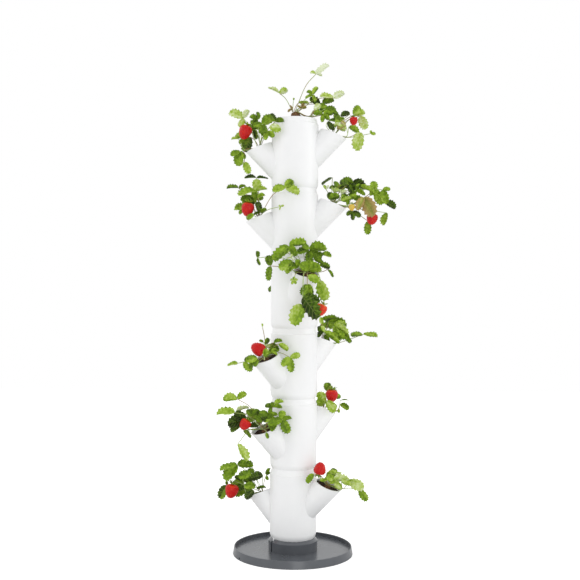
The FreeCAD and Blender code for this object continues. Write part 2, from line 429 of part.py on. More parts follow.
# A leaf is (right, behind, above, lean towards the eye, [(direction of a leaflet, its length, its twist)]).
# A direction is counted from the right, anticlockwise. A twist of 0 shows the blade flat, 90 shows its edge.
# A berry is (right, behind, above, length, radius, direction of its tip).
plants = {
    "plant_1_low": {
        "leaves": [
            (-63, -5, 70, 10, [(228, 46, 24), (4, 42, 26), (194, 46, 60)]),
            (-26, -12, 48, 10, [(192, 34, 30)]),
            (4, -14, 43, 5, [(188, 32, 35)]),
            (13, -14, 43, 5, [(62, 22, 40), (25, 16, 40), (290, 12, 30)]),
            (-15, -16, 11, 10, [(155, 32, 20)]),
            (-89, 14, 16, 5, [(238, 34, 25), (100, 12, 30)]),
            (-34, 3, 8, 0, [(192, 36, 15)]),
            (-20, -34, 4, 15, [(222, 28, 15)]),
            (-12, -22, 6, 5, [(22, 26, 60)]),
            (-22, 26, 38, -20, [(110, 30, 20), (40, 24, 30), (180, 24, 30)]),
            (-44, 22, 20, -10, [(160, 30, 30), (220, 24, 30)]),
            (-48, -8, 30, 5, [(150, 24, 35), (350, 26, 35)]),
            (-66, 10, 6, 0, [(20, 26, 35), (62, 20, 35)]),
            (-44, -14, 14, 8, [(20, 22, 35), (330, 24, 35)]),
        ],
        "berries": [(-74, -20, 17, 35, 17, 258)],
    },
    "plant_1_high": {
        "leaves": [
            (-38, -42, 28, 0, [(222, 24, 20)]),
            (-6, -8, 26, 5, [(8, 36, 50)]),
            (13, -14, 13, 15, [(10, 40, 30), (330, 26, 25), (140, 24, 25)]),
            (-9, -20, 10, 12, [(60, 20, 20), (150, 14, 25)]),
            (52, -12, 10, 10, [(347, 40, 15)]),
            (80, -12, -10, 5, [(314, 30, 20)]),
            (8, 22, 18, -20, [(70, 28, 20), (10, 24, 30)]),
            (22, -12, 18, 10, [(60, 20, 35), (345, 26, 30), (205, 20, 30)]),
            (34, -20, 8, 10, [(30, 24, 35), (350, 24, 35)]),
        ],
        "berries": [(-25, -18, 28, 30, 15, 78)],
    },
    "plant_2_low": {
        "leaves": [
            (-70, 5, 76, 0, [(178, 36, 50), (42, 28, 30)]),
            (-76, -8, 41, 0, [(180, 46, 55)]),
            (-73, 8, 43, 0, [(28, 36, 60)]),
            (-49, 8, 22, 0, [(185, 44, 15), (140, 34, 15)]),
            (-24, 5, 22, 0, [(112, 34, 15), (58, 32, 20), (168, 24, 25), (5, 26, 25)]),
            (21, -14, 56, 5, [(155, 20, 40), (95, 16, 30), (355, 18, 50)]),
            (26, -16, 62, 5, [(28, 26, 40), (345, 20, 45)]),
            (47, -24, 24, 5, [(95, 26, 15), (298, 34, 15), (20, 24, 25), (195, 34, 20)]),
            (11, -20, 20, 10, [(60, 20, 30), (150, 20, 30)]),
            (-54, 8, -5, 5, [(320, 24, 40)]),
            (5, -40, -10, 5, [(290, 14, 10)]),
            (-69, 8, -41, 0, [(303, 44, 42)]),
            (-30, -12, 32, 5, [(60, 26, 30), (130, 24, 30), (340, 24, 30)]),
            (-10, 6, 12, 0, [(95, 22, 30), (190, 26, 35)]),
            (-62, 10, 8, 0, [(200, 26, 30), (120, 24, 30)]),
            (12, -18, 34, 5, [(160, 26, 30), (80, 22, 35), (20, 22, 40)]),
            (24, -20, 30, 8, [(200, 26, 35), (252, 24, 35)]),
            (34, -28, 14, 5, [(170, 24, 35), (225, 22, 35)]),
        ],
        "berries": [(-43, -17, 21, 27, 13.5, 235)],
    },
    "plant_2_high": {
        "leaves": [
            (10, 3, 47, 0, [(92, 28, 15), (55, 20, 30)]),
            (2, -18, 23, 10, [(122, 32, 10), (195, 22, 20)]),
            (8, -41, 20, 10, [(318, 30, 10), (345, 28, 20)]),
            (44, -6, 23, 0, [(8, 22, 65)]),
            (40, -14, 2, 0, [(270, 10, 20)]),
            (22, 24, 30, -20, [(80, 28, 20), (10, 26, 30), (150, 22, 30)]),
            (44, 20, 14, -10, [(330, 26, 30)]),
            (4, 8, 12, 0, [(112, 26, 25), (165, 24, 25)]),
            (2, -18, 16, 8, [(150, 22, 25), (100, 18, 30)]),
        ],
        "berries": [(22, -19, 49, 31, 15.5, 268)],
    },
    "plant_3_low": {
        "leaves": [
            (0, -10, 35, 5, [(75, 18, 30)]),
            (-5, 5, 40, 0, [(150, 12, 30)]),
            (21, -16, 39, 0, [(15, 22, 50)]),
            (34, -22, 35, 5, [(335, 26, 35)]),
            (14, -12, 37, 5, [(325, 24, 25)]),
            (9, -14, 12, 5, [(60, 18, 30), (20, 18, 30)]),
            (-21, -36, -2, 10, [(185, 28, 20), (250, 20, 25)]),
            (-58, -14, -13, 5, [(325, 28, 25)]),
            (-71, -12, -15, 0, [(182, 26, 60)]),
            (64, -28, 1, 0, [(218, 26, 15), (22, 26, 15), (276, 30, 15)]),
            (-3, -39, 3, 5, [(80, 22, 20), (50, 18, 20)]),
            (-8, 0, 79, 0, [(100, 10, 60)]),
            (4, -8, 26, 5, [(110, 16, 40), (50, 14, 40), (10, 14, 40)]),
            (14, -22, 14, 5, [(40, 18, 40), (345, 16, 40)]),
            (-30, -30, -6, 8, [(170, 24, 35), (240, 20, 30)]),
        ],
        "berries": [(-5, -19, 15, 34, 16, 152)],
    },
    "plant_3_high": {
        "leaves": [
            (-2, -5, 55, 5, [(18, 40, 50)]),
            (14, 8, 49, 0, [(2, 48, 55)]),
            (-4, -12, 44, 5, [(100, 20, 20)]),
            (28, -10, 40, 10, [(342, 40, 35), (20, 34, 40), (300, 26, 30)]),
            (2, -14, 32, 5, [(228, 22, 25), (180, 16, 20)]),
            (4, -18, 17, 5, [(305, 20, 25)]),
            (28, -16, 22, 10, [(345, 30, 30)]),
            (56, -10, 14, 5, [(325, 22, 20)]),
            (104, -6, 18, 0, [(180, 32, 64), (3, 38, 66)]),
            (14, 26, 36, -20, [(90, 26, 20), (20, 28, 30), (160, 24, 30)]),
            (42, 22, 18, -10, [(350, 28, 30), (50, 24, 30)]),
            (4, -24, 24, 10, [(122, 20, 35), (340, 26, 30)]),
            (18, -16, 10, 10, [(30, 24, 35), (340, 26, 40)]),
            (-8, -8, 22, 0, [(100, 20, 30), (245, 16, 30)]),
            (42, -4, 24, 5, [(200, 24, 30), (275, 18, 35)]),
        ],
        "berries": [],
    },
    "plant_4_low": {
        "leaves": [
            (0, 14, 44, -20, [(95, 28, 20), (20, 26, 30), (165, 26, 30)]),
            (30, 20, 26, -10, [(30, 28, 30), (330, 22, 30)]),
            (-14, 30, 24, -10, [(150, 26, 30), (90, 22, 30)]),
            (-22, 42, 2, -10, [(270, 26, 20), (210, 22, 30)]),
            (34, 4, 10, 0, [(10, 24, 40)]),
        ],
        "berries": [(24, 40, 2, 28, 13, 268)],
    },
    "plant_4_high": {
        "leaves": [
            (-45, -12, 68, 10, [(222, 50, 35), (12, 44, 60), (320, 26, 15)]),
            (-12, -15, 74, 5, [(330, 20, 15)]),
            (-127, 15, 37, 0, [(95, 18, 40), (295, 16, 40)]),
            (-94, 0, 16, 5, [(100, 28, 20), (263, 30, 25)]),
            (8, -10, 56, 15, [(18, 44, 40), (338, 34, 20), (180, 32, 45), (268, 30, 15)]),
            (-34, -18, 27, 10, [(205, 38, 30), (238, 30, 20)]),
            (4, -16, 4, 25, [(122, 34, 10), (60, 34, 10), (20, 36, 25)]),
            (34, -6, 20, 5, [(355, 26, 25)]),
            (56, -4, 8, 0, [(312, 20, 65)]),
            (40, -4, 48, 0, [(348, 24, 40)]),
            (4, -42, -10, 10, [(342, 30, 10)]),
            (-32, -36, -21, 0, [(90, 9, 0), (18, 9, 0), (162, 9, 0), (234, 9, 0), (306, 9, 0)]),
            (3, -46, -31, 5, [(243, 28, 30), (285, 26, 20), (310, 22, 30)]),
            (-9, -50, -65, 5, [(350, 42, 26), (312, 56, -8)]),
            (-10, -50, -83, 5, [(243, 46, 10)]),
            (36, -38, -21, 5, [(288, 48, 35)]),
            (-40, -20, 38, 5, [(80, 10, 40), (200, 10, 40), (320, 10, 40)]),
            (-48, -16, 50, 5, [(90, 9, 30), (185, 9, 30)]),
            (20, -14, 34, 12, [(40, 30, 25), (345, 24, 35)]),
            (-20, -24, 14, 15, [(170, 26, 30), (110, 22, 35)]),
        ],
        "berries": [(44, -30, -84, 30, 14, 245)],
    },
    "plant_5_low": {
        "leaves": [
            (-7, 5, 102, 0, [(178, 30, 65), (0, 30, 70)]),
            (-5, -8, 68, 15, [(92, 32, 10), (190, 50, 60), (20, 28, 55)]),
            (-53, -5, 75, 0, [(175, 30, 60), (28, 20, 50)]),
            (-3, -18, 49, 10, [(32, 22, 60)]),
            (-10, 6, 35, 0, [(125, 26, 30), (170, 34, 25)]),
            (4, -22, 15, 10, [(108, 28, 30)]),
            (-14, -38, 9, 20, [(225, 22, 15)]),
            (68, -76, 77, 5, [(182, 32, 20), (55, 30, 15), (345, 36, 35)]),
            (57, -74, 28, 0, [(250, 8, 30), (20, 8, 30), (150, 6, 30)]),
            (-8, 28, 46, -20, [(100, 28, 20), (30, 22, 30), (165, 22, 30)]),
            (-34, 26, 24, -10, [(170, 30, 30), (220, 22, 30)]),
            (-20, -2, 54, 5, [(200, 28, 35), (282, 22, 30)]),
            (2, -18, 12, 8, [(30, 20, 40), (112, 18, 40), (200, 16, 40)]),
        ],
        "berries": [(-27, -19, 36, 34, 16, 262)],
    },
    "plant_5_high": {
        "leaves": [
            (-2, 5, 68, 0, [(207, 30, 70)]),
            (22, -10, 55, 10, [(18, 30, 30)]),
            (50, 5, 57, 5, [(340, 34, 50)]),
            (30, -5, 45, 5, [(350, 34, 40), (200, 14, 40)]),
            (103, 0, 31, 5, [(85, 30, 15)]),
            (70, -8, 46, 5, [(335, 38, 65)]),
            (107, -6, 27, 5, [(312, 30, 20)]),
            (128, -8, 37, 5, [(10, 20, 30), (290, 34, 20)]),
            (136, -6, 5, 5, [(335, 28, 30)]),
            (80, -25, 17, 12, [(300, 50, 12), (240, 34, 30)]),
            (91, 7, -45, 0, [(268, 28, 15)]),
            (140, -10, -23, 5, [(255, 30, 35)]),
            (52, -14, -19, 0, [(205, 18, 15), (330, 22, 20), (270, 20, 20)]),
            (-12, -28, 12, 15, [(70, 20, 30), (25, 30, 40)]),
            (22, -20, 7, 5, [(75, 20, 40), (20, 26, 45)]),
            (10, 28, 38, -20, [(95, 28, 20), (20, 26, 30), (160, 22, 30)]),
            (50, 26, 18, -10, [(340, 30, 30)]),
            (-18, -14, 36, 5, [(60, 14, 50), (122, 14, 50)]),
            (2, -18, 30, 5, [(72, 16, 50), (112, 14, 50), (20, 16, 50)]),
            (22, -16, 24, 5, [(45, 18, 50), (102, 14, 50)]),
            (40, -20, 50, 10, [(160, 24, 30), (300, 20, 30)]),
            (120, -4, 34, 5, [(200, 26, 30), (255, 26, 30)]),
            (60, -10, 36, 8, [(230, 26, 30), (340, 24, 35), (62, 20, 35)]),
            (40, -16, 14, 8, [(150, 22, 35), (20, 24, 40), (262, 16, 30)]),
        ],
        "berries": [(103, -17, -26, 28, 14, 262), (49, -30, -2, 16, 7.5, 265)],
    },
    "plant_6_low": {
        "leaves": [
            (-41, -5, 76, 10, [(150, 42, 35), (60, 28, 40), (250, 24, 30)]),
            (8, -26, 60, 20, [(40, 36, 30), (178, 24, 25), (300, 20, 20)]),
            (26, -50, 52, 25, [(0, 32, 15)]),
            (-24, 5, 28, 0, [(250, 38, 8)]),
            (-49, -10, -10, 15, [(262, 34, 12), (200, 26, 38), (310, 20, -22)]),
            (-38, -12, -38, 10, [(300, 28, 20), (210, 16, 40)]),
            (-54, -16, 22, 0, [(178, 18, 60)]),
            (-8, 28, 48, -20, [(110, 30, 20), (40, 22, 30), (170, 24, 30)]),
            (-34, 26, 26, -10, [(165, 30, 30), (215, 22, 30)]),
            (-4, -22, 72, 10, [(150, 24, 30), (95, 22, 35), (230, 20, 30)]),
            (22, -46, 42, 12, [(170, 24, 30), (255, 22, 30), (330, 20, 30)]),
            (42, -56, 68, 12, [(122, 26, 35), (20, 22, 40)]),
            (-12, 4, 48, 0, [(200, 22, 35), (285, 22, 35), (60, 20, 35)]),
            (10, -24, 30, 8, [(122, 20, 35), (40, 20, 35)]),
        ],
        "berries": [(-31, -19, 56, 36, 16, 250)],
    },
    "plant_6_high": {
        "leaves": [
            (-17, -29, 32, 12, [(320, 24, 30)]),
            (0, -30, 24, 5, [(358, 20, 70)]),
            (43, -5, 53, 5, [(182, 24, 35)]),
            (52, -8, 50, 15, [(62, 28, 15), (15, 30, 30)]),
            (68, -4, 47, 10, [(300, 34, 25)]),
            (32, -15, 24, 10, [(200, 24, 40), (140, 16, 40)]),
            (68, -8, 6, 5, [(263, 40, 20)]),
            (96, -3, 2, 0, [(0, 13, 30), (80, 9, 30)]),
            (8, 28, 34, -20, [(90, 26, 20), (20, 24, 30), (160, 22, 30)]),
            (40, 24, 20, -10, [(340, 28, 30)]),
            (8, -14, 22, 8, [(200, 20, 35), (345, 24, 35), (100, 18, 35)]),
        ],
        "berries": [(52, -14, 44, 20, 10, 270)],
    },
    "plant_top": {
        "leaves": [
            (-41, 5, 68, 5, [(152, 34, 64), (35, 24, 25)]),
            (53, 10, 119, 5, [(39, 43, 64), (160, 16, 45), (0, 16, 60)]),
            (45, -20, 66, 5, [(60, 24, 50), (150, 18, 45), (205, 20, 40), (300, 16, 50)]),
            (64, 12, 40, 15, [(150, 32, 20)]),
            (99, -5, 57, 5, [(165, 36, 55), (32, 32, 35)]),
            (70, 22, 43, 5, [(22, 32, 50)]),
            (78, -25, 29, 5, [(352, 28, 40)]),
            (50, -24, 24, 15, [(50, 24, 30)]),
            (42, 20, 18, 5, [(0, 26, 55)]),
            (90, 0, 19, 0, [(356, 22, 75)]),
            (8, -10, 44, 0, [(2, 26, 70)]),
            (-5, -6, 50, 0, [(90, 8, 30)]),
            (72, -20, 16, 5, [(170, 24, 30), (12, 26, 35), (265, 18, 30), (322, 20, 30)]),
            (16, -14, 30, 5, [(70, 14, 40), (150, 12, 45), (20, 13, 40)]),
            (-8, -14, 27, 5, [(120, 12, 40), (200, 12, 40)]),
            (58, -14, 34, 8, [(345, 28, 30), (262, 20, 30), (20, 22, 40)]),
        ],
        "berries": [],
    },
}


def plant_seat(name):
    """Middle of the mouth, way up out of it, middle of the soil there, and the crown's radius and height."""
    if name == "plant_top":
        top = value(f"Sizes.seat_height + {storey_count} * Sizes.storey_pitch")
        up = Vector(0, 0, 1)
        centre = Vector(0, 0, top)
        crown = (value("Sizes.top_crown_radius"), value("Sizes.top_crown_height"))
    else:
        number, which = name.split("_")[1:]
        centre_r, centre_z = [value(expression) for expression in mouth_centre(which)]
        side = pockets[which][0]
        heading = math.radians(storey_turns[int(number) - 1])
        out = Vector(math.cos(heading), math.sin(heading), 0) * side
        base = value(f"Sizes.seat_height + {int(number) - 1} * Sizes.storey_pitch")
        centre = out * centre_r + Vector(0, 0, base + centre_z)
        tilt = math.radians(value("Sizes.mouth_tilt"))
        up = out * math.sin(tilt) + Vector(0, 0, math.cos(tilt))
        crown = (value("Sizes.crown_radius"), value("Sizes.crown_height"))
    soil = centre - up * value("Sizes.soil_drop")
    return centre, up, soil, crown


def seen_place(centre, right, behind, above):
    """The real place of a spot that looks that far right of and above the mouth's middle."""
    scale_here = 1 + centre.y / eye_distance
    seen_x = centre.x / scale_here + right
    seen_z = (centre.z - eye_height) / scale_here + above
    y = centre.y + behind
    scale_there = 1 + y / eye_distance
    return Vector(seen_x * scale_there, y, eye_height + seen_z * scale_there)


def direction(degrees, lean):
    turned = math.radians(degrees)
    leaned = math.radians(lean)
    return Vector(math.cos(turned) * math.cos(leaned), -math.sin(leaned), math.sin(turned) * math.cos(leaned))


def taper(start, finish, start_radius, finish_radius, sides=6):
    """A straight flat-sided rod that may grow thinner or thicker along its way."""
    way = (finish - start).normalize()
    across = way.cross(Vector(0.31, 0.87, 0.39)).normalize()
    aside = way.cross(across)
    rings = []
    for middle, radius in ((start, start_radius), (finish, finish_radius)):
        turns = [2 * math.pi * corner / sides for corner in range(sides)]
        ring = [middle + (across * math.cos(turned) + aside * math.sin(turned)) * radius for turned in turns]
        rings.append(ring + ring[:1])
    faces = [Part.Face(Part.makePolygon(ring)) for ring in rings]
    for corner in range(sides):
        low = [rings[0][corner], rings[0][corner + 1]]
        high = [rings[1][corner + 1], rings[1][corner]]
        faces.append(Part.Face(Part.makePolygon(low + high + low[:1])))
    solid = Part.makeSolid(Part.makeShell(faces))
    if solid.Volume < 0:
        solid.reverse()
    return solid


def knot(centre, size):
    """A small turned cube where stalks and blades meet."""
    cube = Part.makeBox(size, size, size, Vector(-size / 2, -size / 2, -size / 2))
    cube.Placement = FreeCAD.Placement(centre, Rotation(23, 37, 51))
    return cube


def over_rim(centre, up, finish):
    """A point just over the rim, on the way to something that hangs outside the pocket."""
    rim = value(mouth_half)
    flat = Vector(finish.x - centre.x, finish.y - centre.y, 0).normalize() * (rim + 4)
    return centre + flat + Vector(0, 0, rim / 5 - flat.dot(up) / up.z)


def hangs(centre, finish, height):
    """Whether a spot is outside the pocket's rim and lower than that height above the mouth's middle."""
    away = math.hypot(finish.x - centre.x, finish.y - centre.y)
    return away > value(mouth_half) and finish.z < centre.z + height


def leaf_path(centre, up, foot, joint):
    if hangs(centre, joint, value(mouth_half)):
        return [foot, over_rim(centre, up, joint), joint]
    return [foot, (foot + joint) * 0.5 + Vector(0, 0, (joint - foot).Length * 0.15), joint]


def berry_path(centre, up, foot, cap, way, radius):
    arch = cap - way * 5 + Vector(0, radius, 0)
    if hangs(centre, cap, 0):
        return [foot, over_rim(centre, up, cap), arch, cap]
    return [foot, arch, cap]


def stalk(path):
    radius = value("Sizes.stalk_radius")
    solids = [taper(start, finish, radius, radius) for start, finish in zip(path, path[1:])]
    solids += [knot(bend, radius * 1.9) for bend in path[1:-1]]
    return solids + [knot(path[-1], radius * 2.3)]


def stalk_feet(seat, ends):
    """Where each stalk leaves the crown: evenly round it, in the order in which their ends lie round it."""
    centre, up, soil, crown = seat
    out = Vector(up.x, up.y, 0) if up.z < 0.999 else Vector(1, 0, 0)
    forward = (out - up * out.dot(up)).normalize()
    side = up.cross(forward)
    headings = [math.atan2((end - soil).dot(side), (end - soil).dot(forward)) for end in ends]
    order = sorted(range(len(ends)), key=lambda index: headings[index])
    feet = [None] * len(ends)
    for rank, index in enumerate(order):
        heading = math.pi * (2 * (rank + 0.5) / len(ends) - 1)
        aside = forward * math.cos(heading) + side * math.sin(heading)
        feet[index] = soil + up * (crown[1] - 1.5) + aside * (crown[0] * 0.52)
    return feet


def leaflet(joint, degrees, lean, length, twist):
    """A flat pointed oval blade with its foot at the joint."""
    along = direction(degrees, lean)
    facing = Vector(0, -1, 0)
    facing = (facing - along * facing.dot(along)).normalize()
    facing = Rotation(along, twist).multVec(facing)
    across = facing.cross(along)
    foot = joint + along * (value("Sizes.stalk_radius") * 0.7)
    half_width = length * 0.34
    sides = []
    for way in (1, -1):
        bulge = [(0.14, 0.6), (0.36, 0.97), (0.62, 0.93), (0.86, 0.5)]
        sides.append([joint + along * (length * far) + across * (half_width * wide * way) for far, wide in bulge])
    corners = [foot] + sides[0] + [joint + along * length] + sides[1][::-1] + [foot]
    blade = Part.Face(Part.makePolygon(corners))
    thickness = value("Sizes.leaf_thickness")
    blade.translate(facing * (-thickness / 2))
    return blade.extrude(facing * thickness)


def berry_solid(top, length, radius, degrees):
    """A strawberry: flat where its stalk meets it, widest near there, with a round tip."""
    side = Part.BSplineCurve()
    side.interpolate(Points=[Vector(radius * 0.45, 0, 0), Vector(radius * 0.86, 0, length * 0.1),
                             Vector(radius, 0, length * 0.33), Vector(radius * 0.78, 0, length * 0.71),
                             Vector(radius * 0.36, 0, length * 0.945), Vector(0, 0, length)],
                     InitialTangent=Vector(1, 0, 0.3), FinalTangent=Vector(-1, 0, 0))
    section = [
        Part.LineSegment(Vector(0, 0, 0), Vector(radius * 0.45, 0, 0)).toShape(),
        side.toShape(),
        Part.LineSegment(Vector(0, 0, length), Vector(0, 0, 0)).toShape(),
    ]
    solid = Part.Face(Part.Wire(section)).revolve(Vector(0, 0, 0), Vector(0, 0, 1), 360)
    way = direction(degrees, 0)
    solid.Placement = FreeCAD.Placement(top, Rotation(Vector(0, 0, 1), way))
    return solid


def make_plant(name):
    seat = plant_seat(name)
    centre, up, soil, crown = seat
    parts = [taper(soil, soil + up * crown[1], crown[0], crown[0] * 0.7, sides=10)]
    tops = [seen_place(centre, *berry[:3]) for berry in plants[name]["berries"]]
    joints = [seen_place(centre, *leaf[:3]) for leaf in plants[name]["leaves"]]
    feet = stalk_feet(seat, tops + joints)
    berries = []
    for foot, top, berry in zip(feet, tops, plants[name]["berries"]):
        length, radius, degrees = berry[3:]
        berries.append(berry_solid(top, length, radius, degrees))
        way = direction(degrees, 0)
        cap = top - way * 2
        parts.append(taper(cap, top - way * value("Sizes.berry_gap"), radius * 0.2, radius * 0.5, sides=8))
        parts += stalk(berry_path(centre, up, foot, cap, way, radius))
    for foot, joint, leaf in zip(feet[len(tops):], joints, plants[name]["leaves"]):
        parts += stalk(leaf_path(centre, up, foot, joint))
        for degrees, length, twist in leaf[4]:
            parts.append(leaflet(joint, degrees, leaf[3], length, twist))
    plant = parts[0].multiFuse(parts[1:])
    computed = doc.addObject("Part::Feature", name)
    computed.Shape = plant
    computed.Label = name
    pieces = [computed]
    if berries:
        label = name.replace("plant", "berries")
        fruit = doc.addObject("Part::Feature", label)
        fruit.Shape = Part.makeCompound(berries)
        fruit.Label = label
        pieces.append(fruit)
    return pieces


pieces = [make_saucer(), make_collar(), make_grate()]
for storey_number in range(1, storey_count + 1):
    pieces.append(make_storey(storey_number))
    pieces.append(make_soil(storey_number))
for plant_name in plants:
    pieces += make_plant(plant_name)
doc.recompute()

faults = [item.Name for item in doc.Objects if "Invalid" in item.State or "Error" in item.State]
faults += [piece.Label for piece in pieces if piece.Shape.isNull() or not piece.Shape.isValid()]
if faults:
    raise RuntimeError("these failed: " + ", ".join(faults))

os.makedirs("parts", exist_ok=True)
for piece in pieces:
    piece.Shape.exportStep(f"parts/{piece.Label}.step")
    box = piece.Shape.BoundBox
    print(piece.Label, len(piece.Shape.Solids), "solids", round(piece.Shape.Volume / 1000, 2), "cm3",
          [round(size, 1) for size in (box.XMin, box.YMin, box.ZMin, box.XMax, box.YMax, box.ZMax)])
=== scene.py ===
# Strawberry tower: six white storeys on a grey saucer, with plants, fruit and soil in every pocket
import math
import random

import bmesh
import bpy
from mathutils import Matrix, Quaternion, Vector, noise


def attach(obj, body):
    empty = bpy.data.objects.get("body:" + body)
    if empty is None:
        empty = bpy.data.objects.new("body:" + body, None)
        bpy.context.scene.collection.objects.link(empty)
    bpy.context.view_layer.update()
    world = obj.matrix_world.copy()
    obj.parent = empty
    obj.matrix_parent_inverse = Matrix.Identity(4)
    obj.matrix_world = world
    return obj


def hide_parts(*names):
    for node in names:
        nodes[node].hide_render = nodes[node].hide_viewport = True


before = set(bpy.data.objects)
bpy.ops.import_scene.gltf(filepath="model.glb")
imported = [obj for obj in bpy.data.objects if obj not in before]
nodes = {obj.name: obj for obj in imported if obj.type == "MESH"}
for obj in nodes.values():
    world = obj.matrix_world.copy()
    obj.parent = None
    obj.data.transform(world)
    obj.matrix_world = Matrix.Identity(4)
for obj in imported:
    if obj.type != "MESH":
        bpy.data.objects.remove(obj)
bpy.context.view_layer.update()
scene = bpy.context.scene
mm = 0.001

# The tower as it was drawn, in millimetres and degrees
tower = {
    "seatHeight": 42.0,  # the lowest storey's foot
    "pitch": 180.5,  # from one storey's foot to the next
    "turns": [-26, 37, 39, -73, 0, 0],  # heading of each storey's high pocket
    # side of the tower, reach and height of the mouth
    "pockets": {"high": (1, 99.51, 143.53), "low": (-1, 93.51, 107.53)},
    "mouthTilt": 22,  # slope of a mouth
    "pocketLean": 44,  # lean of a pocket's tube
    "pocketBore": 30.0,  # inner radius of a pocket
    "mouthHalf": 33.5,  # half a mouth's width
    "neckBore": 52.0,  # inner radius at the very top
    "soilDrop": 8.0,  # soil under the rim
    "crown": (8.0, 9.0),  # radius and height of a pocket plant's crown
    "topCrown": (14.0, 30.0),
}
storeys = range(1, len(tower["turns"]) + 1)
upright = Vector((0, 0, 1))
topRim = upright * (tower["seatHeight"] + len(tower["turns"]) * tower["pitch"])


# An sRGB hex colour as the linear one that nodes work in
def linearColour(code):
    shares = [int(code[at:at + 2], 16) / 255 for at in (1, 3, 5)]
    return [s / 12.92 if s <= 0.04045 else ((s + 0.055) / 1.055) ** 2.4 for s in shares] + [1.0]


# One node: its own settings by name, and what each input holds or is linked to, as a list in the order of the
# sockets or by their names. A node that is given stands for its first output.
def addNode(tree, kind, inputs=(), **settings):
    node = tree.nodes.new(kind)
    for name, setting in settings.items():
        setattr(node, name, setting)
    for socket, given in inputs.items() if isinstance(inputs, dict) else enumerate(inputs):
        if isinstance(given, bpy.types.Node):
            given = given.outputs[0]
        if isinstance(given, bpy.types.NodeSocket):
            tree.links.new(given, node.inputs[socket])
        else:
            node.inputs[socket].default_value = given
    return node


def newMaterial(name):
    material = bpy.data.materials.new(name)
    material.use_nodes = True
    material.node_tree.nodes.clear()
    return material, material.node_tree


def closeMaterial(material, shader):
    addNode(material.node_tree, "ShaderNodeOutputMaterial", {"Surface": shader})
    return material


# Colour stops on a ramp: [(place, hex colour)]
def setStops(ramp, stops):
    elements = ramp.color_ramp.elements
    while len(elements) < len(stops):
        elements.new(0.5)
    for element, (place, code) in zip(elements, stops):
        element.position = place
        element.color = linearColour(code)


# Grain, depth and cloud are in millimetres: the real grain is nearer 0.3 and is drawn coarser to show
plastics = {
    # moulded white polypropylene: satin, faintly uneven gloss, soft moulded grain
    "whitePolypropyleneSatin": {"light": "#F2F2F2", "dark": "#EAEBEC", "roughness": (0.34, 0.46),
                                "grain": 0.9, "depth": 0.02, "cloud": 70},
    # moulded dark grey polypropylene with a spark-eroded grain that catches light at a low angle
    "greyPolypropyleneGrained": {"light": "#5C5F64", "dark": "#4E5156", "roughness": (0.21, 0.26),
                                 "grain": 0.8, "depth": 0.015, "cloud": 60},
}


def mouldedPlastic(name):
    look = plastics[name]
    material, tree = newMaterial(name)
    place = addNode(tree, "ShaderNodeTexCoord").outputs["Object"]
    cloud = addNode(tree, "ShaderNodeTexNoise",
                    {"Vector": place, "Scale": 1 / (look["cloud"] * mm), "Detail": 3.0, "Roughness": 0.6})
    grain = addNode(tree, "ShaderNodeTexNoise",
                    {"Vector": place, "Scale": 1 / (look["grain"] * mm), "Detail": 2.0, "Roughness": 0.5})
    dark, light = linearColour(look["dark"]), linearColour(look["light"])
    tint = addNode(tree, "ShaderNodeMix", {0: cloud, 6: dark, 7: light}, data_type="RGBA")
    gloss = addNode(tree, "ShaderNodeMapRange", [cloud, 0.3, 0.7, *look["roughness"]])  # from and to ranges
    bump = addNode(tree, "ShaderNodeBump",
                   {"Height": grain, "Strength": 0.35, "Distance": look["depth"] * mm})
    shader = addNode(tree, "ShaderNodeBsdfPrincipled",
                     {"Base Color": tint.outputs[2], "Roughness": gloss, "Normal": bump, "IOR": 1.49})
    return closeMaterial(material, shader)


# Natural stuff that is coloured by its own mottle: grain, crumb and depth in millimetres
mottles = {
    # crown: old leaf scales over a woody root stock, dry and dull
    "strawberryCrownScales": {
        "stops": [(0.3, "#3A2718"), (0.5, "#6B4A2E"), (0.62, "#8C6A43"), (0.75, "#7C8345")],
        "grain": 4, "detail": 5.0, "fine": 0.7, "strength": 0.8, "depth": 0.8, "roughness": 0.85},
    # peat and bark potting mix, moist: dark crumbs with a few lighter bits of bark
    "pottingMixMoist": {
        "stops": [(0.3, "#140C07"), (0.5, "#2C1C11"), (0.62, "#4A3220"), (0.78, "#7D5E3F")],
        "grain": 2, "detail": 4.0, "fine": 0.7, "crumb": 3.2, "strength": 0.9, "depth": 1.2,
        "roughness": 0.9},
    # seeds on the fruit: small dry grains, straw to brown
    "strawberrySeedDry": {
        "stops": [(0.35, "#96611E"), (0.65, "#CFA045")],
        "grain": 3, "detail": 2.0, "fine": 0.5, "roughness": 0.55},
}


def mottledStuff(name):
    look = mottles[name]
    material, tree = newMaterial(name)
    place = addNode(tree, "ShaderNodeTexCoord").outputs["Object"]
    grain = addNode(tree, "ShaderNodeTexNoise", {"Vector": place, "Scale": 1 / (look["grain"] * mm),
                                                 "Detail": look["detail"], "Roughness": look["fine"]})
    colour = addNode(tree, "ShaderNodeValToRGB", {"Fac": grain})
    setStops(colour, look["stops"])
    inputs = {"Base Color": colour, "Roughness": look["roughness"]}
    relief = grain
    if "crumb" in look:
        relief = addNode(tree, "ShaderNodeTexVoronoi", {"Vector": place, "Scale": 1 / (look["crumb"] * mm)})
    if "depth" in look:
        inputs["Normal"] = addNode(tree, "ShaderNodeBump", {"Height": relief, "Strength": look["strength"],
                                                            "Distance": look["depth"] * mm})
    return closeMaterial(material, addNode(tree, "ShaderNodeBsdfPrincipled", inputs))


